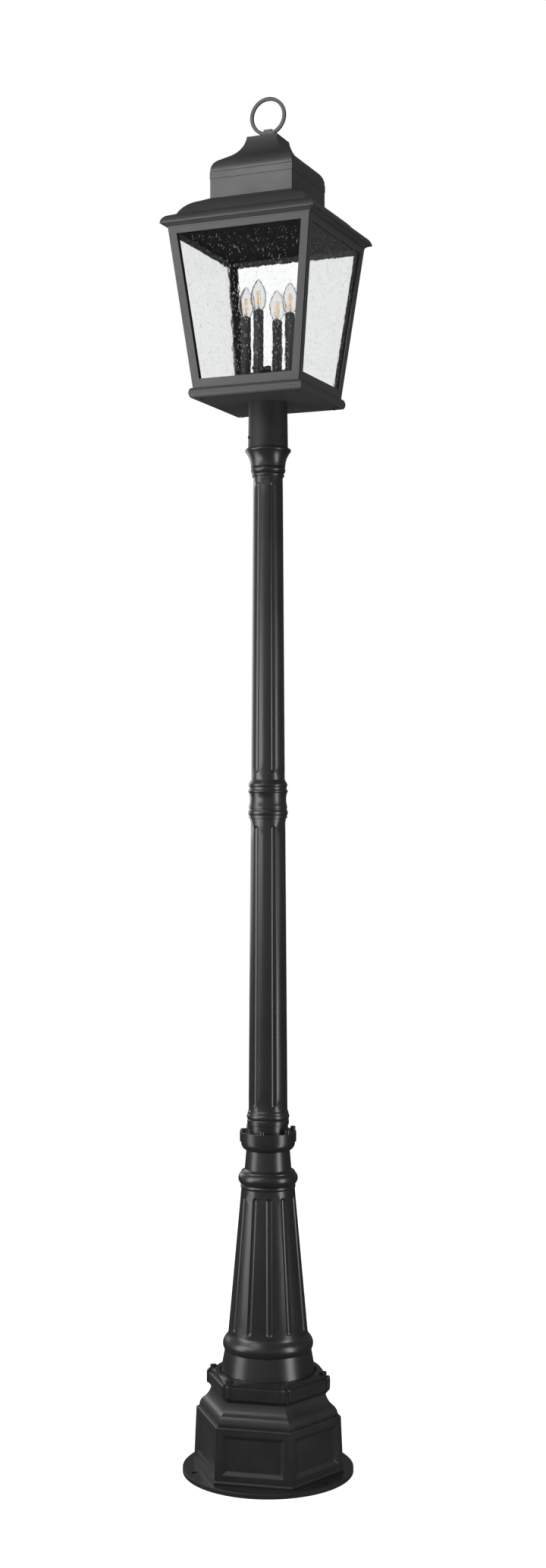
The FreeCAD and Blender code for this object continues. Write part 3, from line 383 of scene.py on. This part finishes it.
def bumped(tree, height, shader, distance):
    """Raises a surface by a height from 0 to 1 times a distance."""
    bump = add(tree, "ShaderNodeBump", strength=1.0, distance=distance)
    wire(tree, (height, bump.inputs["Height"]), (bump.outputs["Normal"], shader.inputs["Normal"]))


def grain_values(grain, share, wave, blotch):
    """The sizes of a coat's grain, waves and blotches, and how much of its height is grain."""
    return {
        "Grain Scale": grain,
        "Grain Share": share,
        "Wave Scale": wave,
        "Blotch Scale": blotch,
    }


def coat(name, dark, light, roughness, grain, depth, metallic=0.0, specular=0.5):
    """A coated or plated finish whose colour, gloss and grain vary over the surface."""
    material, tree, shader, _ = new_material(name)
    grains = grouped(tree, GRAIN, grain)
    smoothest, roughest = roughness
    drift = grouped(
        tree,
        DRIFT,
        {
            "Dark Colour": dark,
            "Light Colour": light,
            "Smoothest": smoothest,
            "Roughest": roughest,
        },
    )
    wire(
        tree,
        (grains.outputs["Blotch"], drift.inputs["Blotch"]),
        (drift.outputs["Color"], shader.inputs["Base Color"]),
        (drift.outputs["Roughness"], shader.inputs["Roughness"]),
    )
    bumped(tree, grains.outputs["Height"], shader, depth)
    fill(shader, {"Metallic": metallic, "Specular IOR Level": specular})
    return material


def glass(name, tint, ripple_scale, depth, body_tint, density, gloss=1.0):
    """Clear glass that lets lamp light through, with a drawn surface and a faint body colour."""
    material, tree, shader, out = new_material(name)
    fill(
        shader,
        {
            "Base Color": tint,
            "Roughness": 0.0,
            "IOR": GLASS_IOR,
            "Transmission Weight": 1.0,
            "Specular Tint": grey(gloss),
        },
    )
    ripples = {"Ripple Scale": ripple_scale, "Upright Stretch": UPRIGHT_STRETCH}
    surface = grouped(tree, RIPPLE, ripples)
    bumped(tree, surface.outputs["Height"], shader, depth)
    path = add(tree, "ShaderNodeLightPath")
    clear = add(tree, "ShaderNodeBsdfTransparent", color=grey(GLASS_SHADOW))
    mix = add(tree, "ShaderNodeMixShader")
    body = add(tree, "ShaderNodeVolumeAbsorption", color=body_tint, density=density)
    wire(
        tree,
        (path.outputs["Is Shadow Ray"], mix.inputs["Fac"]),
        (shader.outputs["BSDF"], mix.inputs[1]),
        (clear.outputs["BSDF"], mix.inputs[2]),
        (mix.outputs["Shader"], out.inputs["Surface"]),
        (body.outputs["Volume"], out.inputs["Volume"]),
    )
    return material


def air_in_glass(name):
    """Air inside glass: a bubble's wall bends light the other way."""
    material, _, shader, _ = new_material(name)
    fill(
        shader,
        {
            "Base Color": WHITE,
            "Roughness": SEED_ROUGHNESS,
            "IOR": AIR_IN_GLASS_IOR,
            "Transmission Weight": 1.0,
        },
    )
    return material


LANTERN_GRAIN = grain_values(grain=420.0, share=0.85, wave=90.0, blotch=14.0)
POST_GRAIN = grain_values(grain=500.0, share=0.35, wave=140.0, blotch=7.0)
CAST_GRAIN = grain_values(grain=420.0, share=0.4, wave=70.0, blotch=16.0)
SMALL_GRAIN = grain_values(grain=1500.0, share=0.6, wave=300.0, blotch=60.0)

# Each coat: its darkest and lightest colour, its range of roughness, its grain and its depth.
lantern_coat = coat(
    "lantern_coat",
    grey(0.033, 1.04),
    grey(0.041, 1.04),
    (0.38, 0.46),
    LANTERN_GRAIN,
    0.18 * MM,
    specular=0.7,
)
# A near-black matte coat for the inside of the lantern, also used as painted shade in the side
# frames' joints.
inner_coat_and_joint_shade = coat(
    "inner_coat_and_joint_shade",
    grey(0.008, 1.1),
    grey(0.011, 1.1),
    (0.75, 0.85),
    LANTERN_GRAIN,
    0.09 * MM,
    specular=0.0,
)
tray_coat = coat(
    "tray_coat", grey(0.036, 1.03), grey(0.044, 1.03), (0.40, 0.48), LANTERN_GRAIN, 0.18 * MM
)
# The fitter cup's own greenish coat, darkened with painted shade from the lantern above it.
cup_coat_with_painted_shade = coat(
    "cup_coat_with_painted_shade",
    grey(0.014, 0.95),
    grey(0.018, 0.95),
    (0.52, 0.60),
    LANTERN_GRAIN,
    0.10 * MM,
    specular=0.3,
)
post_coat = coat("post_coat", grey(0.014), grey(0.018), (0.27, 0.33), POST_GRAIN, 0.04 * MM)
cast_coat = coat("cast_coat", grey(0.016), grey(0.022), (0.28, 0.36), CAST_GRAIN, 0.12 * MM)
candle_coat = coat(
    "candle_coat",
    grey(0.018, 1.05),
    grey(0.022, 1.05),
    (0.42, 0.5),
    SMALL_GRAIN,
    0.03 * MM,
    specular=0.4,
)
socket_shell = coat("socket_shell", grey(0.014), grey(0.02), (0.5, 0.6), SMALL_GRAIN, 0.05 * MM)
blackened_steel = coat(
    "blackened_steel", grey(0.03), grey(0.05), (0.4, 0.5), SMALL_GRAIN, 0.02 * MM, metallic=0.6
)
nickel = coat(
    "nickel",
    (0.55, 0.53, 0.48, 1),
    (0.62, 0.60, 0.55, 1),
    (0.22, 0.34),
    SMALL_GRAIN,
    0.01 * MM,
    metallic=1.0,
)
solder = coat(
    "solder", grey(0.42), grey(0.5), (0.35, 0.5), SMALL_GRAIN, 0.05 * MM, metallic=1.0
)
filament_coat = coat(
    "filament_coat",
    (1.0, 0.50, 0.06, 1),
    (1.0, 0.60, 0.12, 1),
    (0.45, 0.6),
    SMALL_GRAIN,
    0.04 * MM,
)

# Each glass: its tint, its ripples' scale and depth, its body colour and how dense that is.
pane_glass = glass(
    "pane_glass", (0.995, 1.0, 1.0, 1), 200.0, 0.07 * MM, (0.75, 0.9, 0.88, 1), 3.0, gloss=0.1
)
bulb_glass = glass("bulb_glass", WHITE, 60.0, 0.01 * MM, grey(0.5), 70.0)
stem_glass = glass("stem_glass", (0.9, 0.92, 0.92, 1), 400.0, 0.02 * MM, grey(0.5), 60.0)
seed_air = air_in_glass("seed_air")

# ---------------------------------------------------------------- lantern and pedestal

EASE = 0.8 * MM
THIN_EASE = 0.6 * MM
CAST_EASE = 1.3 * MM
CAST_ANGLE = 18
WINDOW_FOOT = Vector((104.7, -122.7, 2306.9)) * MM
WINDOW_HEAD = Vector((140.0, -158.0, 2606.1)) * MM
JOINT_OFF_WINDOW = 1.2 * MM
JOINT_EASE = 0.6 * MM


def butted_frame(side, number):
    """A side frame as uprights and rails with eased ends, and painted shade on the faces at its
    joints.
    """
    around = Matrix.Rotation(math.radians(90 * number), 3, "Z")
    edge = WINDOW_HEAD - WINDOW_FOOT
    up = Vector((0, edge.y, edge.z))
    across = edge.cross(Vector((1, 0, 0)).cross(up)).normalized()
    cuts = []
    for mirror in (1, -1):
        flip = Vector((mirror, 1, 1))
        outward = across * math.copysign(1, across.x) * flip
        place = WINDOW_FOOT * flip - outward * JOINT_OFF_WINDOW
        cuts.append((around @ place, around @ outward))
    members = []
    # What each member keeps of the two cuts: outside one, outside the other, or inside both.
    for keep in ((1, 0), (0, 1), (-1, -1)):
        member = copied(f"side_frame_{side}")
        for (place, outward), kept in zip(cuts, keep):
            if kept:
                open_mesh(member)
                bpy.ops.mesh.bisect(
                    plane_co=place,
                    plane_no=outward,
                    use_fill=True,
                    clear_inner=kept > 0,
                    clear_outer=kept < 0,
                )
                close_mesh()
        members.append(eased(member, JOINT_EASE))
    name = f"side_rails_{side}"
    rails = joined(name, members)
    hand_over(
        rails, name, "cage", lantern_coat, [f"side_frame_{side}"], level=True
    )
    # The faces beside each joint cut take the near-black coat: painted shade in the joint grooves.
    rails.data.materials.append(inner_coat_and_joint_shade)
    for face in rails.data.polygons:
        if any(abs((face.center - place).dot(outward)) < JOINT_EASE for place, outward in cuts):
            face.material_index = 1


def sheet_metal():
    """The folded and mitred parts of the lantern, with the small radii that a coated edge has."""
    for number, side in enumerate(SIDES):
        butted_frame(side, number)
    for node, name, body, finish, width in (
        ("header_frame", "header_band", "cage", lantern_coat, THIN_EASE),
        ("roof_skirt", "roof_hood", "cage", lantern_coat, EASE),
        ("cupola_box", "cupola_wall", "cage", lantern_coat, THIN_EASE),
        ("cupola_cap", "cupola_hood", "cage", lantern_coat, EASE),
        ("base_tray", "base_pan", "head", tray_coat, EASE),
    ):
        sheet = eased(copied(node), width)
        hand_over(sheet, name, body, finish, [node], level=True)


def pedestal_castings():
    """The hexagonal castings, with the soft edges of a sand casting."""
    for node, name in (("pedestal_box", "pedestal_panels"), ("pedestal_cap", "pedestal_hood")):
        casting = eased(copied(node), CAST_EASE, angle=CAST_ANGLE, segments=3)
        hand_over(
            casting, name, "root", cast_coat, [node], smooth=CAST_ANGLE, level=True
        )


# ---------------------------------------------------------------- seeded panes

PANE_LONG_EDGE = 20 * MM
PANE_CUTS = 100
WAVE_SIZE = 7 * MM
WAVE_STRETCH = 2.5
WAVE_HEIGHT = 0.10 * MM
WAVE_SHIFT = (0.31, 0.17)
SEEDS_PER_PANE = 1150
FIRST_DRAW = 20
SEED_HALF_WIDTH = (0.3 * MM, 0.65 * MM)
SEED_HALF_DEPTH = 0.22 * MM
SEED_SHRINK = (0.6, 1)
SEED_STRETCH = (1.3, 6.0)
SEED_TWIST = 4
PANE_MARGIN = 12 * MM
CORNER_REACH = 3 * MM


def wavy(piece, number):
    """Gives both faces of a pane the shallow waves of drawn glass, its own for each pane."""
    holder = bpy.data.objects.new("wave_place", None)
    bpy.context.scene.collection.objects.link(holder)
    holder.location = (WAVE_SHIFT[0] * number, WAVE_SHIFT[1] * number, 0)
    holder.scale = (1, 1, WAVE_STRETCH)
    texture = bpy.data.textures.new("pane_waves", "CLOUDS")
    texture.noise_scale = WAVE_SIZE
    texture.noise_depth = 1
    bpy.context.view_layer.update()
    modified(
        piece,
        "DISPLACE",
        texture=texture,
        texture_coords="OBJECT",
        texture_coords_object=holder,
        strength=WAVE_HEIGHT,
        mid_level=0.5,
    )
    bpy.data.objects.remove(holder)


def pane(side, number):
    """A pane cut fine enough to carry its waves."""
    piece = copied(f"glass_pane_{side}")
    open_mesh(piece, "DESELECT")
    mesh = bmesh.from_edit_mesh(piece.data)
    for edge in mesh.edges:
        edge.select_set(edge.calc_length() > PANE_LONG_EDGE)
    bmesh.update_edit_mesh(piece.data)
    bpy.ops.mesh.subdivide(number_cuts=PANE_CUTS)
    close_mesh()
    wavy(piece, number)
    name = f"seeded_pane_{side}"
    hand_over(
        piece, name, "cage", pane_glass, [f"glass_pane_{side}"], smooth=40
    )


def bubble():
    """One seed: a small round bubble of a few dozen faces."""
    bpy.ops.object.select_all(action="DESELECT")
    bpy.ops.mesh.primitive_uv_sphere_add(segments=6, ring_count=4, radius=1)
    return bpy.context.active_object


def pane_end(points, height):
    """The half width and the mean depth of a pane at its foot or head."""
    near = [point for point in points if abs(point.z - height) < CORNER_REACH]
    return max(point.x for point in near), sum(point.y for point in near) / len(near)


def seeds(side, number, seed):
    """The bubbles of one pane, drawn out upright and scattered at its middle depth."""
    draw = random.Random(seed)
    corners = [vertex.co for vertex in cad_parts[f"glass_pane_{side}"].data.vertices]
    around = Matrix.Rotation(math.radians(90 * number), 3, "Z")
    local = [around.inverted() @ corner for corner in corners]
    foot = min(point.z for point in local)
    head = max(point.z for point in local)
    foot_half, foot_depth = pane_end(local, foot)
    head_half, head_depth = pane_end(local, head)
    lean = Matrix.Rotation(math.atan2(foot_depth - head_depth, head - foot), 3, "X")
    first = bubble()
    bubbles = []
    for _ in range(SEEDS_PER_PANE):
        share = draw.random()
        half = foot_half + (head_half - foot_half) * share - PANE_MARGIN
        height = foot + PANE_MARGIN + (head - foot - 2 * PANE_MARGIN) * share
        depth = foot_depth + (head_depth - foot_depth) * (height - foot) / (head - foot)
        width = draw.uniform(*SEED_HALF_WIDTH) * draw.uniform(*SEED_SHRINK)
        length = width * draw.uniform(*SEED_STRETCH)
        size = Matrix.Diagonal((width, SEED_HALF_DEPTH, length))
        twist = Matrix.Rotation(math.radians(draw.gauss(0, SEED_TWIST)), 3, "Y")
        place = Vector((draw.uniform(-half, half), depth, height))
        turned = around @ lean @ twist @ size
        copy = first.data.copy()
        copy.transform(Matrix.Translation(around @ place) @ turned.to_4x4())
        one = bpy.data.objects.new("seed", copy)
        bpy.context.scene.collection.objects.link(one)
        bubbles.append(one)
    bpy.data.objects.remove(first)
    name = f"seeds_{side}"
    hand_over(joined(name, bubbles), name, "cage", seed_air, smooth=80)


# ---------------------------------------------------------------- bulbs

BULB_FOOT = (8.2 * MM, 2456.0 * MM)
BULB_BELLY = (16.6 * MM, 2480.0 * MM)
BULB_SHOULDER = (3.0 * MM, 2519.0 * MM)
BELLY_SWEEP = 38.5 * MM
SHOULDER_SWEEP = 62.7 * MM
BULB_WALL = 0.9 * MM

CAP_FOOT = 2433.0 * MM
CAP_HEAD = 2451.0 * MM
CAP_RINGS = 36
CAP_RADIUS = 5.75 * MM
CAP_PITCH = 2.54 * MM
THREAD_DEPTH = 0.45 * MM

STICK_CIRCLE = 5.0 * MM
STICK_FOOT = 2464.5 * MM
STICK_HEAD = 2494.5 * MM
STICK_RADIUS = 0.6 * MM
WIRE_RADIUS = 0.25 * MM
WIRE_RISE = 2.2 * MM
WIRE_FALL = 4 * MM
WIRE_FOOT_CIRCLE = 1.2 * MM

# Turned outlines as (radius, height) in mm.
TIP = ((2.4, 2519.9), (1.3, 2520.5), (0, 2520.8))
COLLAR = ((5.7, 2450.5), (7.0, 2452.0), (8.0, 2453.2), (8.2, 2456.4), (7.6, 2456.9))
INSULATOR = ((2.6, 2430.2), (5.2, 2432.4), (5.5, 2433.4))
CONTACT = ((1.2, 2429.0), (2.3, 2429.5), (2.5, 2430.6))
STEM = (
    (4.4, 2457.2),
    (3.0, 2459.0),
    (2.0, 2462.0),
    (1.3, 2465.0),
    (0.9, 2480.0),
    (0.9, 2496.4),
    (0.5, 2497.0),
)


def in_metres(outline):
    """An outline given in mm, in metres."""
    return [(radius * MM, height * MM) for radius, height in outline]


def candle_centre(number):
    """Where a bulb's axis stands, from its CAD glass."""
    low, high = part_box(f"bulb_{number}_glass")
    return ((low.x + high.x) / 2, (low.y + high.y) / 2)


def envelope(body, centre):
    """The thin-walled flame of glass, open at its foot."""
    outline = [BULB_FOOT]
    outline += arc(BULB_FOOT, BULB_BELLY, BELLY_SWEEP, 12)
    outline += arc(BULB_BELLY, BULB_SHOULDER, SHOULDER_SWEEP, 18)
    outline += in_metres(TIP)
    piece = lathe(outline, centre, sides=64, closed=False)
    modified(piece, "SOLIDIFY", thickness=BULB_WALL, offset=-1)
    hand_over(
        piece, f"{body}_envelope", body, bulb_glass, [f"{body}_glass"], smooth=60
    )


def threaded(piece, centre):
    """Winds a round thread into a turned tube."""
    open_mesh(piece)
    mesh = bmesh.from_edit_mesh(piece.data)
    for vertex in mesh.verts:
        across = Vector((vertex.co.x - centre[0], vertex.co.y - centre[1]))
        turn = math.atan2(across.y, across.x) / math.tau
        rib = math.cos(math.tau * (vertex.co.z / CAP_PITCH - turn))
        share = 1 + THREAD_DEPTH / 2 * rib / across.length
        vertex.co.x = centre[0] + across.x * share
        vertex.co.y = centre[1] + across.y * share
    bmesh.update_edit_mesh(piece.data)
    close_mesh()


def screw_cap(body, centre):
    """The threaded cap with its collar, the insulator and the contact under it."""
    rise = CAP_HEAD - CAP_FOOT
    outline = [(CAP_RADIUS, CAP_FOOT + rise * ring / CAP_RINGS) for ring in range(CAP_RINGS + 1)]
    tube = lathe(outline, centre)
    threaded(tube, centre)
    name = f"{body}_shell"
    shell = joined(name, [tube, lathe(in_metres(COLLAR), centre)])
    hand_over(shell, name, body, nickel, [f"{body}_cap"])
    insulator = lathe(in_metres(INSULATOR), centre, sides=32)
    hand_over(insulator, f"{body}_insulator", body, socket_shell)
    contact = lathe(in_metres(CONTACT), centre, sides=24)
    hand_over(contact, f"{body}_contact", body, solder)


def filaments(body, centre):
    """Four amber sticks round a glass stem, held by fine wires at both ends."""
    sticks = []
    wires = []
    middle = Vector((*centre, 0))
    top = middle + Vector((0, 0, STICK_HEAD + WIRE_RISE))
    for index in range(4):
        turn = math.radians(45 + 90 * index)
        way = Vector((math.cos(turn), math.sin(turn), 0))
        foot = middle + way * STICK_CIRCLE + Vector((0, 0, STICK_FOOT))
        head = middle + way * STICK_CIRCLE + Vector((0, 0, STICK_HEAD))
        low = middle + way * WIRE_FOOT_CIRCLE + Vector((0, 0, STICK_FOOT - WIRE_FALL))
        sticks.append(rod_between(foot, head, STICK_RADIUS))
        wires.append(rod_between(head, top, WIRE_RADIUS, 8))
        wires.append(rod_between(foot, low, WIRE_RADIUS, 8))
    amber = joined("sticks", sticks)
    hand_over(amber, f"{body}_sticks", body, filament_coat, [f"{body}_filaments"])
    hand_over(joined("wires", wires), f"{body}_wires", body, blackened_steel)
    stem = lathe(in_metres(STEM), centre, sides=24)
    hand_over(stem, f"{body}_stem", body, stem_glass)


# ---------------------------------------------------------------- carried-over nodes


def coat_nodes():
    """Gives each CAD node that stays in view its finish."""
    shafts = ["lower_shaft", "shaft_coupling", "upper_shaft"]
    cluster = ["cluster_hub", "cluster_arms", "hub_column", "candle_brace", "hub_nut"]
    fixings = ["cup_set_screws", "cage_screws", "nipple", "lock_nut", "ring_screw", "post_tenon"]
    coats = {
        post_coat: ["base_column", "shaft_collar", *shafts, "capital"],
        cast_coat: ["anchor_plate"],
        lantern_coat: ["finial_ring"],
        cup_coat_with_painted_shade: ["fitter_cup"],
        inner_coat_and_joint_shade: ["ceiling_plate", "corner_posts"],
        candle_coat: cluster + [f"candle_sleeve_{number}" for number in CANDLES],
        socket_shell: [f"lamp_socket_{number}" for number in CANDLES],
        blackened_steel: fixings,
    }
    for finish, nodes in coats.items():
        for node in nodes:
            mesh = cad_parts[node].data
            mesh.materials.clear()
            mesh.materials.append(finish)


# ---------------------------------------------------------------- room

BRIGHT_SIDE = (-0.5, -0.84, -0.2)
DIM_FROM = -0.3
DIM_ROOM = 0.08
BRIGHT_ROOM = 0.5
REFLECTED_WHITE = 0.05

FLOOR_RADIUS = 9
FLOOR_DROP = 0.5 * MM
FLOOR_COLOUR = grey(0.65)
FLOOR_IN_MIRRORS = 0.15
FLOOR_LIFT = 0.8
NEAR_FLOOR = 0.3
FAR_FLOOR = 0.9


def seen_share(tree, reflected):
    """1 for rays that see the white ground straight or through glass, less for mirrored ones."""
    path = add(tree, "ShaderNodeLightPath")
    straight = add(tree, "ShaderNodeMath", operation="MAXIMUM")
    unmirrored = add(tree, "ShaderNodeMath", operation="LESS_THAN")
    through = add(tree, "ShaderNodeMath", operation="MULTIPLY")
    mirrored = add(tree, "ShaderNodeMath", operation="MULTIPLY")
    either = add(tree, "ShaderNodeMath", operation="MAXIMUM")
    fill(unmirrored, {1: 0.5})
    fill(mirrored, {1: reflected})
    wire(
        tree,
        (path.outputs["Is Camera Ray"], straight.inputs[0]),
        (path.outputs["Glossy Depth"], unmirrored.inputs[0]),
        (path.outputs["Is Transmission Ray"], through.inputs[0]),
        (unmirrored.outputs["Value"], through.inputs[1]),
        (through.outputs["Value"], straight.inputs[1]),
        (path.outputs["Is Glossy Ray"], mirrored.inputs[0]),
        (straight.outputs["Value"], either.inputs[0]),
        (mirrored.outputs["Value"], either.inputs[1]),
    )
    return either.outputs["Value"]


def studio():
    """A soft room, brighter on one side, in front of a white ground."""
    world = bpy.data.worlds.new("studio")
    bpy.context.scene.world = world
    world.use_nodes = True
    tree = world.node_tree
    tree.nodes.clear()
    out = add(tree, "ShaderNodeOutputWorld")
    ground = add(tree, "ShaderNodeBackground", color=WHITE, strength=1.0)
    room = add(tree, "ShaderNodeBackground", color=WHITE)
    way = add(tree, "ShaderNodeTexCoord")
    facing = add(tree, "ShaderNodeVectorMath", operation="DOT_PRODUCT")
    fill(facing, {1: BRIGHT_SIDE})
    level = add(
        tree, "ShaderNodeMapRange", from_min=DIM_FROM, to_min=DIM_ROOM, to_max=BRIGHT_ROOM
    )
    mix = add(tree, "ShaderNodeMixShader")
    wire(
        tree,
        (way.outputs["Generated"], facing.inputs[0]),
        (facing.outputs["Value"], level.inputs["Value"]),
        (level.outputs["Result"], room.inputs["Strength"]),
        (seen_share(tree, REFLECTED_WHITE), mix.inputs["Fac"]),
        (room.outputs["Background"], mix.inputs[1]),
        (ground.outputs["Background"], mix.inputs[2]),
        (mix.outputs["Shader"], out.inputs["Surface"]),
    )


def floor():
    """A pale floor that keeps the shadow near the post and turns white further out."""
    bpy.ops.object.select_all(action="DESELECT")
    bpy.ops.mesh.primitive_circle_add(
        vertices=96, radius=FLOOR_RADIUS, fill_type="NGON", location=(0, 0, -FLOOR_DROP)
    )
    ground = bpy.context.active_object
    ground.name = "studio_floor"
    material, tree, shader, out = new_material("pale_floor")
    fill(shader, {"Roughness": 0.9, "Specular IOR Level": 0.1})
    path = add(tree, "ShaderNodeLightPath")
    paint = add(tree, "ShaderNodeMix", data_type="RGBA")
    in_mirrors = tuple(FLOOR_IN_MIRRORS * part for part in FLOOR_COLOUR)
    fill(paint, {6: FLOOR_COLOUR, 7: in_mirrors})
    lift = add(tree, "ShaderNodeEmission", color=WHITE)
    place = add(tree, "ShaderNodeTexCoord")
    reach = add(tree, "ShaderNodeVectorMath", operation="LENGTH")
    rise = add(
        tree,
        "ShaderNodeMapRange",
        from_min=NEAR_FLOOR,
        from_max=FAR_FLOOR,
        to_min=FLOOR_LIFT,
    )
    share = add(tree, "ShaderNodeMath", operation="MULTIPLY")
    both = add(tree, "ShaderNodeAddShader")
    wire(
        tree,
        (path.outputs["Is Glossy Ray"], paint.inputs["Factor"]),
        (paint.outputs[2], shader.inputs["Base Color"]),
        (place.outputs["Object"], reach.inputs[0]),
        (reach.outputs["Value"], rise.inputs["Value"]),
        (rise.outputs["Result"], share.inputs[1]),
        (seen_share(tree, 0.0), share.inputs[0]),
        (share.outputs["Value"], lift.inputs["Strength"]),
        (shader.outputs["BSDF"], both.inputs[0]),
        (lift.outputs["Emission"], both.inputs[1]),
        (both.outputs["Shader"], out.inputs["Surface"]),
    )
    ground.data.materials.append(material)


# ---------------------------------------------------------------- lamps and camera

# Each lamp: its turn about the post in degrees, distance, height, width, length, watts and the
# height on the post's axis that it is aimed at.
SOFTBOXES = {
    "left_softbox": (-142, 2.6, 1.5, 1.1, 2.8, 46, 1.5),
    "right_softbox": (-10, 2.4, 1.05, 0.7, 2.0, 36, 1.05),
    "lantern_softbox": (-120, 2.2, 1.55, 1.2, 0.8, 15, 2.5),
    "back_softbox": (148, 3.0, 2.2, 1.2, 2.6, 22, 1.9),
    "cupola_softbox": (-113, 2.4, 3.35, 1.4, 0.6, 19, 2.75),
}

CAMERA_DISTANCE = 4.274
CAMERA_HEIGHT = 1.453
CAMERA_TURN = -66.9
SENSOR = 36
FOCAL_PIXELS = 2650
FRAME_HEIGHT = 2069
AXIS_LEFT_OF_MIDDLE = 6.5
HORIZON_BELOW_MIDDLE = 3.5


def placed(name, data, place, way):
    """A lamp or camera at a place, looking along a way."""
    holder = bpy.data.objects.new(name, data)
    bpy.context.scene.collection.objects.link(holder)
    holder.location = place
    holder.rotation_euler = way.to_track_quat("-Z", "Y").to_euler()
    return holder


def softbox(name, turn, distance, height, width, length, watts, aim_height):
    """A rectangular lamp that stands round the post and is aimed at its axis."""
    lamp = bpy.data.lights.new(name, "AREA")
    lamp.shape = "RECTANGLE"
    lamp.size = width
    lamp.size_y = length
    lamp.energy = watts
    angle = math.radians(turn)
    place = Vector((distance * math.cos(angle), distance * math.sin(angle), height))
    holder = placed(name, lamp, place, Vector((0, 0, aim_height)) - place)
    holder.visible_camera = False
    holder.visible_transmission = False


def camera():
    """A level camera at the photograph's viewing angle."""
    lens = bpy.data.cameras.new("camera")
    lens.sensor_fit = "VERTICAL"
    lens.sensor_height = SENSOR
    lens.lens = SENSOR * FOCAL_PIXELS / FRAME_HEIGHT
    lens.shift_x = AXIS_LEFT_OF_MIDDLE / FRAME_HEIGHT
    lens.shift_y = HORIZON_BELOW_MIDDLE / FRAME_HEIGHT
    angle = math.radians(CAMERA_TURN)
    back = Vector((math.cos(angle), math.sin(angle), 0))
    place = back * CAMERA_DISTANCE + Vector((0, 0, CAMERA_HEIGHT))
    bpy.context.scene.camera = placed("camera", lens, place, -back)


# ---------------------------------------------------------------- the whole scene

bpy.context.scene.view_settings.view_transform = "Standard"
camera()
studio()
floor()
for softbox_name, settings in SOFTBOXES.items():
    softbox(softbox_name, *settings)

coat_nodes()
sheet_metal()
pedestal_castings()
for index, side in enumerate(SIDES):
    pane(side, index + 1)
    seeds(side, index, FIRST_DRAW + index)
for candle in CANDLES:
    middle = candle_centre(candle)
    bulb = f"bulb_{candle}"
    envelope(bulb, middle)
    screw_cap(bulb, middle)
    filaments(bulb, middle)
